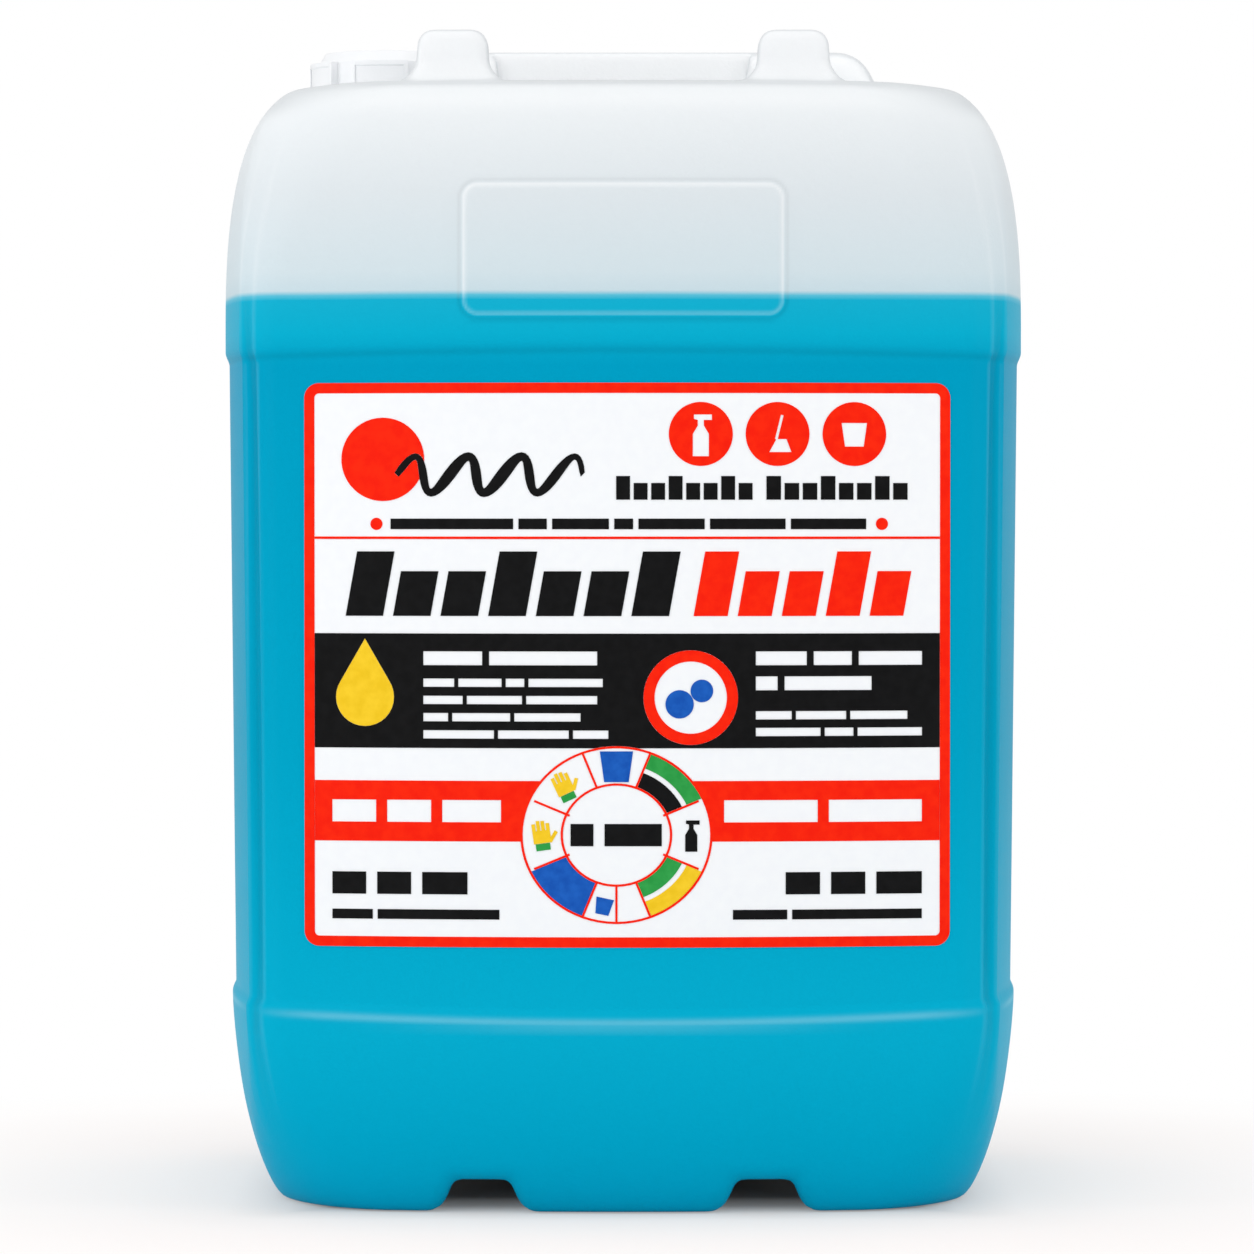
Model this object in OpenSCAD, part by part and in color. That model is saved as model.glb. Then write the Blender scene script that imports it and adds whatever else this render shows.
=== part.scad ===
// Stackable 25 litre detergent can: blow-moulded body with a built-in handle,
// stacking lugs and a threaded neck, its screw cap, its front label and the liquid inside.
// The origin is at the centre of the base. The label faces -Y and the cap is towards -X.

/* [Body] */
// Full width at the upper band
can_w = 300.8; // [280:0.2:340]
// Full depth at the upper band, over the middle of the front and rear faces
can_d = 257; // [245:0.5:290]
// Height of the two ridges that carry the lugs
ridge_z = 413; // [405:0.5:440]
// Wall thickness
wall = 2; // [1.5:0.1:3]
// Bow radius of the front and rear faces
front_bow_r = 620; // [500:5:900]
// Bow radius of the two side faces
side_bow_r = 480; // [400:5:700]
// Width of a corner, measured from the side
corner_w = 21; // [18:0.5:26]
// Depth of a corner, measured from the front
corner_d = 27; // [24:0.5:32]
// Depth of the flutes that hollow the four corners
flute_depth = 3; // [1:0.1:4]

/* [Foot and lower band] */
// Width of the flat foot
foot_w = 256; // [240:1:262]
// Depth of the flat foot
foot_d = 202; // [190:1:212]
// Top of the lower band
lower_band_z = 72; // [60:1:80]
// Height of the sloped ledge above the lower band
ledge_h = 4; // [2:0.5:6]
// How far the lower band stands out beyond the label zone
ledge_out = 1.3; // [0.5:0.1:2]
// Height of the channels that run under the base
channel_h = 12.4; // [8:0.2:16]
// Width of the flat roof of a channel
channel_roof_w = 20; // [14:1:26]
// Width of a channel at its mouth
channel_mouth_w = 40; // [32:1:46]
// Distance between the centres of the two channels
channel_gap = 102.6; // [90:0.2:120]

/* [Upper band and shoulder] */
// Height at which the label zone ends and the upper step begins
step_z = 309; // [304:1:312]
// Height of the upper step
step_h = 5; // [3:0.5:6]
// How far the label zone lies behind the upper band, on the sides
recess_side = 1.1; // [0.6:0.1:1.6]
// How far the label zone lies behind the upper band, on the front and rear
recess_front = 1.5; // [0.8:0.1:2.2]
// Drop of the shoulder's outer edge below the ridge
crown_h = 3; // [2:0.5:5]
// Width of the level top of a ridge
ridge_w = 186; // [170:1:200]
// Width at the outer edge of the shoulder
shoulder_w = 230; // [222:1:240]
// Depth over the two ridges at the outer edge of the shoulder
shoulder_d = 208; // [200:1:216]
// Width of the raised pad on the upper band
pad_w = 115.6; // [90:0.2:130]
// Height of the raised pad
pad_h = 46.6; // [36:0.2:50]
// Height of the pad's centre above the base
pad_z = 349.1; // [345:0.1:352]
// How far the pad stands out
pad_out = 0.7; // [0.4:0.1:1.2]
// Corner radius of the pad
pad_r = 5; // [2:0.5:8]

/* [Stacking lugs] */
// Distance between the centres of the two lugs on a ridge
lug_gap = 124; // [116:1:134]
// Height of a lug above its ridge
lug_h = 17; // [14:0.5:20]
// Width of a lug at its top, before its edges are rounded
lug_top_w = 25; // [20:1:28]
// Width of a lug at its root, without the hollow there
lug_root_w = 27; // [24:1:32]
// Radius that rounds the top of a lug on its two sides
lug_r = 5.5; // [2:0.5:8]
// Radius that rounds the top of a lug on its front and rear
lug_edge_r = 4; // [1:0.5:6]
// Radius of the hollow where a lug meets its ridge
lug_fillet = 6; // [3:0.5:8]
// Depth of a lug
lug_d = 23; // [18:1:26]
// Distance of the lugs' outer faces from the middle plane
lug_face_y = 99; // [96:0.5:101]

/* [Deck and handle] */
// Depth of the sunken deck below the ridges
deck_drop = 18; // [15:0.5:23]
// Width of the deck between the ridges
deck_w = 84; // [80:1:92]
// Outer width of the deck's mouth, level with the ridges
deck_mouth_w = 96; // [94:1:104]
// Height of the handle's top above the ridges
handle_rise = 15.5; // [13:0.5:19]
// Depth of the handle's end blocks
handle_d = 34; // [30:1:38]
// Depth of the grip bar between the blocks
grip_d = 27; // [22:1:29]
// Depth of the grip bar from the handle's top to its underside
grip_h = 22.5; // [18:0.5:25]
// Distance from the neck's axis to the left end of the handle
handle_from_neck = 31.6; // [30.6:0.2:34]
// Distance from the handle's right end to the side of the can
handle_from_side = 55.6; // [52:0.2:60]
// Length of the handle's left end block
left_block = 9.5; // [8:0.5:12]
// Length of the handle's right end block
right_block = 47.3; // [42:0.1:52]
// Depth of the finger well's floor below the deck
well_drop = 24; // [15:1:30]
// Depth of the finger well, front to rear
well_d = 76; // [70:1:80]

/* [Neck and cap] */
// Distance of the neck's axis from the left side of the can
neck_in = 61.8; // [60:0.2:63]
// Bore radius of the neck
neck_bore_r = 19.5; // [17:0.1:19.8]
// Outer radius of the neck's wall
neck_r = 21.8; // [21.4:0.1:22.2]
// Height of the neck's rim above the deck
neck_h = 30.2; // [29:0.1:32]
// Rise of the thread in one turn
pitch = 6; // [5:0.25:7]
// Height of the thread above the neck's wall
thread_depth = 2; // [1.4:0.1:2.2]
// Turns of thread on the neck
thread_turns = 1.75; // [1.25:0.25:2]
// Clearance between the neck and the cap, at the crests
thread_gap = 0.6; // [0.5:0.05:0.8]
// Outer radius over the cap's grip lobes
cap_r = 30; // [29:0.1:31]
// Radius of the cap between its lobes
cap_core_r = 26.7; // [26.4:0.1:27.4]
// Height of the cap's skirt and crown together
cap_h = 21.8; // [21:0.1:23]
// Number of grip lobes
lobes = 6; // [4:1:8]
// Angle that one lobe covers
lobe_angle = 43; // [30:1:44]
// Height of the tamper band
band_h = 6; // [5:0.5:7]
// Thickness of the soft liner in the cap
liner_t = 1.2; // [0.8:0.1:1.6]
// Running clearance between loose pieces
gap = 0.3; // [0.2:0.05:0.4]

/* [Contents] */
// Height of the liquid's surface
fill_z = 334; // [200:1:350]

/* [Label] */
// Width of the label
label_w = 233; // [180:1:240]
// Height of the label
label_h = 203; // [200:1:210]
// Distance of the label's middle from the middle of the can
label_x = 1.5; // [-2:0.5:3]
// Height of the label's middle
label_z = 199.6; // [196:0.1:202]
// Corner radius of the label
label_r = 5.4; // [2:0.2:8]
// Thickness of the label's film
film_t = 0.2; // [0.1:0.05:0.4]
// Thickness of one layer of print
ink_t = 0.1; // [0.05:0.05:0.2]
// Width of the label's coloured border
border_w = 3.7; // [2.1:0.2:5.1]
// Radius of the round wheel of colours
wheel_r = 32; // [28:0.1:34]
// Radius of the white middle of the wheel
hub_r = 17.8; // [16:0.2:22]
// Segments in the wheel
wheel_parts = 8; // [6:1:12]

/* [Hidden] */
$fn = 48;

natural = [0.93, 0.95, 0.96];
detergent_blue = [0.05, 0.62, 0.77];
cap_white = [0.9, 0.91, 0.92];

half_w = can_w / 2;
half_d = can_d / 2;
deck_z = ridge_z - deck_drop;
handle_z = ridge_z + handle_rise;
grip_under_z = handle_z - grip_h;
well_z = deck_z - well_drop;
rim_z = deck_z + neck_h;
neck_x = neck_in - half_w;
handle_left_x = neck_x + handle_from_neck;
handle_right_x = half_w - handle_from_side;
grip_x = [handle_left_x + left_block, handle_right_x - right_block];
grip_l = grip_x[1] - grip_x[0];
grip_mid = (grip_x[0] + grip_x[1]) / 2;
waist_z = lower_band_z + ledge_h;
step_top_z = step_z + step_h;
shoulder_z = step_top_z + 6;
crown_z = ridge_z - crown_h;
label_zone_d = half_d - recess_front;
waist_draft = 2.3;
ridge_edge = 6;
// How deep the lugs are set into their ridge
lug_root_h = 8;
deck_fillet = 8;
foot_bulge = 1.6;
shoulder_bulge = 3.2;
foot_corner_w = 42;
foot_corner_d = 45;
top_corner_w = 30;
top_corner_d = 34;
flute_rise_z = [24, 100];
flute_fade_z = [288, 350];
front_steps = 6;
corner_steps = 7;
side_steps = 4;
// How far a piece that is joined to another one runs into it, and how far a cut runs past a face
sunk = 1;
// How far a cut along or across the whole can runs past it
over = 20;
// Depth of the slab that trims a piece on the bowed front
slab = 60;

// Step around the neck that the tamper band rests on, and the bead that holds the band down
seat_h = 4.5;
seat_r = cap_core_r + 1.5;
bead_rise = 5;
bead_h = 2;
bead_out = 2.6;

cap_crown_t = 2.4;
cap_low_z = rim_z + liner_t + cap_crown_t - cap_h;
cap_top_z = cap_low_z + cap_h;
lobe_top_z = cap_top_z - 3.6;
cap_edge_r = 2;
panel_in = 0.6;
lobe_turn = -13;
thread_low_z = cap_low_z + 3.4;
thread_root = 0.4;
cap_bore_r = neck_r + thread_depth + thread_gap;

// Print on the label: a sheet of ink starts this far above the film
ink_gap = 0.06;
film_gap = 0.05;
// Size of label that the print is laid out for; on another size the print is stretched to fit
layout_size = [233, 203];
// Places on the label, from its middle
rule_y = 45.8;
rule_t = 0.9;
left_x = -106.4;
right_x = 106.3;
tagline = [48.9, 52.7];
title = [17.7, 40.9];
title_low_top = 33.8;
title_lean = 0.18;
wave_x = [-83, -16];
wave_y = 68.5;
wave_h = 6.5;
wave_turns = 3.5;
wave_w = 3.2;
bold_row = [59.5, 65.5];
bold_top = 68;
title_black_x = [-101.5, 15];
title_red_x = [23.8, 99.5];
black_band = [-29.8, 11.4];
red_band = [-63.4, -41.6];
disc_y = 83.1;
disc_x = [26.4, 54, 81.7];
disc_r = 11.5;
bubble = [-88, 74];
bubble_r = 15;
ring_place = [22.8, -11.6];
ring_r = 17;
ring_w = 4;
drop_place = [-94.5, -11.5];
drop_r = 10.5;
wheel_centre = [-3.9, -61];
wheel_stretch = 1.08;
wheel_mid_r = (hub_r + wheel_r) / 2;
line_w = 0.8;
dot_x = [-90.3, 91.7];
dot_r = 2.2;

function mix(a, b, t) = a + (b - a) * t;
function ease(ends, v) =
    let (t = min(max((v - ends[0]) / (ends[1] - ends[0]), 0), 1))
    t * t * (3 - 2 * t);
// How far an arc of radius r has fallen back at distance x from its middle, and its slope there
function sag(x, r) = r - sqrt(r * r - x * x);
function slope(x, r) = x / sqrt(r * r - x * x);
// Quarter of a superellipse, which rises from 0 to 1
function swell(t, n) = pow(max(1 - pow(1 - min(max(t, 0), 1), n), 0), 1 / n);

// Inverse of the curve of ease
function settle(t) = 0.5 - sin(asin(1 - 2 * min(max(t, 0), 1)) / 3);

// Half width or half depth at a height, from the sizes at the foot, lower band, waist, upper band and top
function reach(z, foot, band, waist_low, waist_high, full, rim, top) =
    z <= lower_band_z ? mix(foot, band, swell(z / lower_band_z, foot_bulge))
    : z <= waist_z ? mix(band, waist_low, (z - lower_band_z) / ledge_h)
    : z <= step_z ? mix(waist_low, waist_high, (z - waist_z) / (step_z - waist_z))
    : z <= step_top_z ? mix(waist_high, full, (z - step_z) / step_h)
    : z <= crown_z ? mix(rim, full, swell((crown_z - z) / (crown_z - shoulder_z), shoulder_bulge))
    : mix(top, rim, settle((ridge_z - z) / crown_h));

function reach_x(z) =
    let (high = half_w - recess_side, low = high - waist_draft)
    reach(z, foot_w / 2, low + ledge_out, low, high, half_w, shoulder_w / 2, ridge_w / 2);
function reach_y(z) =
    let (waist = label_zone_d)
    reach(z, foot_d / 2, waist + ledge_out, waist, waist, half_d, shoulder_d / 2,
          shoulder_d / 2 - ridge_edge);
function corner_x(z) =
    mix(mix(foot_corner_w, corner_w, ease([0, lower_band_z], z)), top_corner_w, ease([shoulder_z, crown_z], z));
function corner_y(z) =
    mix(mix(foot_corner_d, corner_d, ease([0, lower_band_z], z)), top_corner_d, ease([shoulder_z, crown_z], z));
function flute(z) = flute_depth * ease(flute_rise_z, z) * (1 - ease(flute_fade_z, z));

// One corner point: a quadratic curve from end a to end b by way of c, pushed in by the flute
function corner_point(a, b, c, u, push) =
    let (p = (1 - u) * (1 - u) * a + 2 * u * (1 - u) * c + u * u * b,
         run = b - a,
         inward = [run[1], -run[0]] / norm(run))
    p + inward * push * (1 - pow(abs(2 * u - 1), 4));

// A quarter of the outline at height z, from the middle of the front to the middle of the side
function quarter(z, inset) =
    let (w = reach_x(z) - inset,
         d = reach_y(z) - inset,
         xe = w - corner_x(z),
         ye = d - corner_y(z),
         front_sag = sag(xe, front_bow_r),
         side_sag = sag(ye, side_bow_r),
         a = [xe, d - front_sag],
         b = [w - side_sag, ye],
         fall = slope(xe, front_bow_r),
         lean = slope(ye, side_bow_r),
         t = (a[1] - b[1] - fall * (b[0] - a[0])) / (1 - fall * lean),
         c = b + t * [-lean, 1])
    concat(
        [for (i = [0:front_steps - 1]) let (x = xe * i / front_steps) [x, d - sag(x, front_bow_r)]],
        [for (i = [0:corner_steps - 1]) corner_point(a, b, c, i / corner_steps, flute(z))],
        [for (i = [0:side_steps]) let (y = ye * (1 - i / side_steps)) [w - sag(y, side_bow_r), y]]);

// The whole outline, anticlockwise from the middle of the front
function outline(z, inset) =
    let (q = quarter(z, inset), n = len(q) - 1)
    concat(
        [for (i = [0:n - 1]) [q[i][0], -q[i][1]]],
        [for (i = [0:n - 1]) [q[n - i][0], q[n - i][1]]],
        [for (i = [0:n - 1]) [-q[i][0], q[i][1]]],
        [for (i = [0:n - 1]) [-q[n - i][0], -q[n - i][1]]]);

// Heights of the outlines, closer together where the form turns
foot_heights = [for (i = [0:9]) lower_band_z * pow(i / 9, 2)];
waist_heights = [for (i = [0:6]) mix(waist_z, step_z, i / 6)];
shoulder_heights = [for (i = [0:11]) mix(step_top_z, crown_z, sin(90 * i / 11))];
crown_heights = [for (i = [1:4]) mix(crown_z, ridge_z, (1 - cos(45 * i)) / 2)];
heights = concat(foot_heights, waist_heights, shoulder_heights, crown_heights);
// Fewer outlines carry the inside, where only the wall's thickness depends on them
inner_foot = [for (i = [0:6]) lower_band_z * pow(i / 6, 2)];
inner_waist = [for (i = [0:3]) mix(waist_z, step_z, i / 3)];
inner_shoulder = [for (i = [0:7]) mix(step_top_z, crown_z, sin(90 * i / 7))];
inner_heights = concat(inner_foot, inner_waist, inner_shoulder, [ridge_z]);

// Closed solid through outlines of equal length, one above the other
module loft(rings) {
    n = len(rings[0]);
    m = len(rings);
    points = [for (r = rings) each r];
    walls = [for (i = [0:m - 2]) for (j = [0:n - 1])
        let (k = (j + 1) % n, a = i * n + j, b = i * n + k, c = b + n, d = a + n)
        each [[a, d, c], [a, c, b]]];
    base = [for (j = [0:n - 1]) j];
    lid = [for (j = [n - 1:-1:0]) (m - 1) * n + j];
    polyhedron(points = points, faces = concat([base], walls, [lid]), convexity = 6);
}

// The can's own form, drawn in by inset all over
module can_form(inset, zs) {
    squeeze = (ridge_z - 2 * inset) / ridge_z;
    loft([for (z = zs) [for (p = outline(z, inset)) [p[0], p[1], inset + z * squeeze]]]);
}

// Lays an outline drawn in X and Z across the can
module across(depth) {
    rotate([90, 0, 0])
        linear_extrude(depth, center = true)
            children();
}

// Lays a section drawn in Y and Z along the can
module along(length) {
    rotate([90, 0, 90])
        linear_extrude(length, center = true)
            children();
}

module rounded_box(w, h, r) {
    offset(r = r)
        offset(delta = -r)
            square([w, h], center = true);
}

// Sunken deck between the ridges, grown by g
module deck_cut(g) {
    mouth = deck_mouth_w / 2;
    floor_half = deck_w / 2;
    above = lug_h + 10;
    lean = (mouth - floor_half) / (ridge_z - deck_z);
    along(can_w + 2 * over)
        offset(delta = g)
            offset(r = deck_fillet)
                offset(delta = -deck_fillet)
                    polygon([[-floor_half, deck_z], [floor_half, deck_z],
                             [mouth + lean * above, ridge_z + above], [-mouth - lean * above, ridge_z + above]]);
}

// Finger well and the window under the grip bar, grown by g
module well_cut(g) {
    r = 11;
    open_h = 40;
    well_h = grip_under_z - well_z;
    translate([grip_mid, 0, well_z + well_h / 2])
        intersection() {
            across(well_d + 2 * g)
                offset(r = g)
                    rounded_box(grip_l, well_h, r);
            along(grip_l + 2 * g)
                offset(r = g)
                    translate([0, open_h / 2])
                        rounded_box(well_d, well_h + open_h, r);
        }
}

// Handle with its two end blocks, drawn in by inset
module handle_form(inset) {
    r = 6;
    edge_r = 4;
    root_z = deck_z - r;
    nose = [5, 8.5];
    root_run = 15;
    intersection() {
        across(handle_d - 2 * inset)
            offset(delta = -inset)
                offset(r = r)
                    offset(delta = -r)
                        polygon([[handle_left_x, root_z], [handle_left_x, handle_z],
                                 [handle_right_x - nose[0], handle_z], [handle_right_x, handle_z - nose[1]],
                                 [handle_right_x + root_run, root_z]]);
        along(can_w)
            translate([0, (handle_z + root_z) / 2 - inset])
                rounded_box(handle_d - 2 * inset, handle_z - root_z, edge_r);
    }
}

// Recess on each long face of the handle, which leaves the grip bar, grown by g
module grip_scoop(g) {
    lip = 2;
    slant = 3;
    depth = 20;
    low_z = grip_under_z - 2;
    for (side = [-1, 1])
        translate([0, side * ((grip_d + depth) / 2 - g), 0])
            across(depth)
                offset(delta = g)
                    polygon([[grip_x[0], handle_z - lip], [grip_x[1], handle_z - lip],
                             [grip_x[1] - slant, low_z], [grip_x[0] + slant, low_z]]);
}

// Outline of the two channels under the base, grown by g
module channel_outline(g) {
    flare = 4;
    r = 2;
    below = -10;
    top = channel_roof_w / 2;
    mouth = channel_mouth_w / 2;
    for (side = [-1, 1])
        translate([side * channel_gap / 2, 0])
            offset(r = g)
                offset(r = r)
                    offset(delta = -r)
                        polygon([[-mouth, below], [-mouth, 0], [-mouth + flare / 2, flare / 4], [-mouth + flare, flare],
                                 [-top, channel_h], [top, channel_h], [mouth - flare, flare],
                                 [mouth - flare / 2, flare / 4], [mouth, 0], [mouth, below]]);
}

// Stacking lug, seen from the front, with hollows where it meets the ridge
module lug_outline() {
    root = lug_root_w / 2;
    top = lug_top_w / 2;
    plate = root + lug_fillet + 2;
    below = 0.05;
    offset(r = -lug_fillet, $fn = 28)
        offset(delta = lug_fillet)
            offset(r = lug_r, $fn = 28)
                offset(delta = -lug_r)
                    polygon([[-plate, -lug_root_h], [-plate, -below], [-root, -below], [-top, lug_h],
                             [top, lug_h], [root, -below], [plate, -below], [plate, -lug_root_h]]);
}

// The same lug, seen from the side
module lug_section() {
    translate([0, (lug_h - lug_root_h - lug_edge_r) / 2])
        rounded_box(lug_d, lug_h + lug_root_h + lug_edge_r, lug_edge_r, $fn = 24);
}

module lugs() {
    for (sx = [-1, 1], sy = [-1, 1])
        translate([sx * lug_gap / 2, sy * (lug_face_y - lug_d / 2), ridge_z])
            intersection() {
                across(lug_d)
                    lug_outline();
                along(2 * lug_root_w)
                    lug_section();
            }
}

// Raised pad that follows the bowed upper band
module pad() {
    cols = 10;
    rows = 6;
    margin = 2;
    span_x = pad_w + 2 * margin;
    span_z = pad_h + 2 * margin;
    root = 1.2;
    function skin(i, j, out) =
        let (x = span_x * (i / cols - 0.5), z = pad_z + span_z * (j / rows - 0.5))
        [x, -(reach_y(z) + out - sag(x, front_bow_r)), z];
    function cell(i, j) = j * (cols + 1) + i;
    count = (cols + 1) * (rows + 1);
    outer = [for (j = [0:rows]) for (i = [0:cols]) skin(i, j, pad_out)];
    inner = [for (j = [0:rows]) for (i = [0:cols]) skin(i, j, -root)];
    front = [for (j = [0:rows - 1]) for (i = [0:cols - 1])
        let (a = cell(i, j), b = cell(i + 1, j), c = cell(i + 1, j + 1), d = cell(i, j + 1))
        each [[a, d, c], [a, c, b]]];
    back = [for (f = front) [count + f[2], count + f[1], count + f[0]]];
    edge = concat([for (i = [0:cols - 1]) cell(i, 0)], [for (j = [0:rows - 1]) cell(cols, j)],
                  [for (i = [cols:-1:1]) cell(i, rows)], [for (j = [rows:-1:1]) cell(0, j)]);
    rim = [for (k = [0:len(edge) - 1])
        let (a = edge[k], b = edge[(k + 1) % len(edge)])
        each [[a, b, b + count], [a, b + count, a + count]]];
    intersection() {
        polyhedron(points = concat(outer, inner), faces = concat(front, back, rim), convexity = 4);
        translate([0, -half_d, pad_z])
            across(slab)
                rounded_box(pad_w, pad_h, pad_r);
    }
}

// Trapezoid thread swept round the Z axis: root and crest radii, first height, and turns
module thread(root_r, crest_r, low_z, turns) {
    steps = 32;
    n = round(steps * turns);
    fade = 4;
    root_half = 1.5;
    crest_half = 0.8;
    buried = 0.05;
    rings = [for (i = [0:n])
        let (grow = min(min(i, n - i) / fade, 1),
             crest = mix(root_r, crest_r, mix(buried, 1, grow)),
             half = mix(root_half, crest_half, grow),
             z = low_z + pitch * i / steps,
             a = 360 * i / steps,
             section = [[root_r, z - root_half], [crest, z - half], [crest, z + half], [root_r, z + root_half]])
        [for (p = section) [p[0] * cos(a), p[0] * sin(a), p[1]]]];
    flip = crest_r < root_r;
    sides = [for (i = [0:n - 1]) for (j = [0:3])
        let (k = (j + 1) % 4, a = i * 4 + j, b = i * 4 + k, c = b + 4, d = a + 4)
        each [[a, b, c], [a, c, d]]];
    ends = [[3, 2, 1], [3, 1, 0], [n * 4, n * 4 + 1, n * 4 + 2], [n * 4, n * 4 + 2, n * 4 + 3]];
    faces = concat(sides, ends);
    polyhedron(points = [for (r = rings) each r],
               faces = flip ? [for (f = faces) [f[2], f[1], f[0]]] : faces,
               convexity = 8);
}

// Space inside the can, up into the handle and out through the neck
module cavity() {
    difference() {
        can_form(wall, inner_heights);
        deck_cut(wall);
        well_cut(wall);
        across(can_d + 2 * over)
            channel_outline(wall);
    }
    difference() {
        handle_form(wall);
        well_cut(wall);
        grip_scoop(wall);
    }
    translate([neck_x, 0, deck_z - wall - sunk])
        cylinder(r = neck_bore_r, h = neck_h + wall + 2 * sunk);
}

module neck() {
    translate([neck_x, 0, deck_z - sunk]) {
        cylinder(r = neck_r, h = neck_h + sunk);
        cylinder(r = seat_r, h = seat_h + sunk);
    }
    translate([neck_x, 0, deck_z + seat_h + bead_rise])
        cylinder(r1 = neck_r + bead_out, r2 = neck_r + sunk, h = bead_h);
    translate([neck_x, 0, 0])
        thread(neck_r - thread_root, neck_r + thread_depth, thread_low_z, thread_turns);
}

module can() {
    color(natural)
        difference() {
            union() {
                difference() {
                    can_form(0, heights);
                    deck_cut(0);
                }
                handle_form(0);
                lugs();
                pad();
                neck();
            }
            well_cut(0);
            grip_scoop(0);
            across(can_d + 2 * over)
                channel_outline(0);
            cavity();
        }
}

module liquid() {
    clear = wall + gap;
    color(detergent_blue)
        difference() {
            intersection() {
                can_form(clear, inner_heights);
                translate([-can_w, -can_d, 0])
                    cube([2 * can_w, 2 * can_d, fill_z]);
            }
            across(can_d + 2 * over)
                channel_outline(clear);
        }
}

// Section through one grip lobe, with a shallow panel between its foot and its top
module lobe_section(high) {
    foot = 2.6;
    top = 1.4;
    slant = 0.8;
    panel = cap_r - panel_in;
    polygon([[cap_core_r - sunk, 0], [cap_r, 0], [cap_r, foot], [panel, foot + slant],
             [panel, high - top - slant], [cap_r, high - top], [cap_r, high - panel_in],
             [panel, high], [cap_core_r - sunk, high]]);
}

module screw_cap() {
    skirt_z = lobe_top_z - cap_low_z;
    color(cap_white)
        translate([neck_x, 0, 0]) {
            difference() {
                union() {
                    translate([0, 0, cap_low_z])
                        rotate_extrude($fn = 72)
                            polygon(concat([[0, 0], [cap_core_r, 0]],
                                           [for (a = [0:30:90]) [cap_core_r - cap_edge_r * (1 - cos(a)),
                                                                 cap_h - cap_edge_r * (1 - sin(a))]],
                                           [[0, cap_h]]));
                    for (k = [0:lobes - 1])
                        rotate([0, 0, lobe_turn - 90 + k * 360 / lobes - lobe_angle / 2])
                            translate([0, 0, cap_low_z])
                                rotate_extrude(angle = lobe_angle, $fn = 72)
                                    lobe_section(skirt_z);
                }
                translate([0, 0, cap_low_z - sunk])
                    cylinder(r = cap_bore_r, h = cap_h - cap_crown_t + sunk, $fn = 72);
            }
            thread(cap_bore_r + thread_root, neck_r + thread_gap, thread_low_z + pitch / 2,
                   thread_turns - 0.25);
        }
}

module cap_liner() {
    color([0.8, 0.82, 0.84])
        translate([neck_x, 0, rim_z])
            cylinder(r = cap_bore_r - 2, h = liner_t, $fn = 72);
}

module tamper_band() {
    play = 0.1;
    inner = neck_r + bead_out + 2 * gap;
    lip = neck_r + 1;
    outer = cap_r - 0.5;
    lip_h = bead_rise - 1.6;
    color(cap_white)
        translate([neck_x, 0, deck_z + seat_h + play])
            rotate_extrude($fn = 72)
                polygon([[lip, 0], [outer - 1, 0], [outer, 1], [outer, band_h], [inner, band_h],
                         [inner, lip_h + 1], [lip, lip_h]]);
}

// Keeps what is drawn in X and Z on a sheet that lies on the bowed front, from out to out + t
module on_front(out, t) {
    r = front_bow_r + film_gap + out;
    intersection() {
        translate([0, front_bow_r - label_zone_d, label_z - label_h])
            difference() {
                cylinder(r = r + t, h = 2 * label_h, $fn = 360);
                translate([0, 0, -sunk])
                    cylinder(r = r, h = 2 * (label_h + sunk), $fn = 360);
            }
        translate([label_x, -label_zone_d, label_z])
            across(slab)
                children();
    }
}

module print_layer() {
    on_front(film_t + ink_gap, ink_t)
        children();
}

// Print laid out inside the label's border
module laid_out() {
    intersection() {
        scale([label_w / layout_size[0], label_h / layout_size[1]])
            children();
        label_outline(border_w + ink_gap);
    }
}

module label_outline(inset) {
    rounded_box(label_w - 2 * inset, label_h - 2 * inset, label_r - inset);
}

module label() {
    color("white")
        on_front(0, film_t)
            label_outline(0);
}

// First n entries of a list, added up
function total(v, n) = n == 0 ? 0 : v[n - 1] + total(v, n - 1);

// Bars that stand in for a line of words, each as long as its share of the line
module words(x, y, shares) {
    n = len(shares);
    space = (y[1] - y[0]) * 0.5;
    unit = (x[1] - x[0] - space * (n - 1)) / total(shares, n);
    for (i = [0:n - 1])
        translate([x[0] + unit * total(shares, i) + space * i, y[0]])
            square([unit * shares[i], y[1] - y[0]]);
}

// Blocks that stand in for n letters of a title between two heights; every third one rises to top
module letter_blocks(x, y, top, n, space, lean) {
    step = (x[1] - x[0] + space) / n;
    for (i = [0:n - 1])
        let (a = x[0] + step * i, b = a + step - space,
             high = i % 3 == 0 ? top : y[1], run = lean * (high - y[0]))
        polygon([[a, y[0]], [b, y[0]], [b + run, high], [a + run, high]]);
}

// Slanted wave that runs over the bubble, grown by g
module wave(g) {
    steps = 70;
    lean = 0.3;
    thin = 0.45;
    function crest(i, side) =
        let (a = 360 * wave_turns * i / steps,
             y = wave_h * sin(a),
             half = wave_w / 2 * (thin + (1 - thin) * pow(sin(180 * i / steps), 0.5)))
        [mix(wave_x[0], wave_x[1], i / steps) + lean * y - side * half * cos(a), wave_y + y + side * half];
    offset(delta = g)
        polygon(concat([for (i = [0:steps]) crest(i, -1)], [for (i = [steps:-1:0]) crest(i, 1)]));
}

// A band across the label
module band(y) {
    translate([-layout_size[0] / 2, y[0]])
        square([layout_size[0], y[1] - y[0]]);
}

module disc(place, r) {
    translate(place)
        circle(r = r, $fn = 32);
}

// Round wheel on the label, as an oval of radius r
module wheel(r) {
    translate(wheel_centre)
        scale([wheel_stretch, 1])
            circle(r = r, $fn = 48);
}

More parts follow.
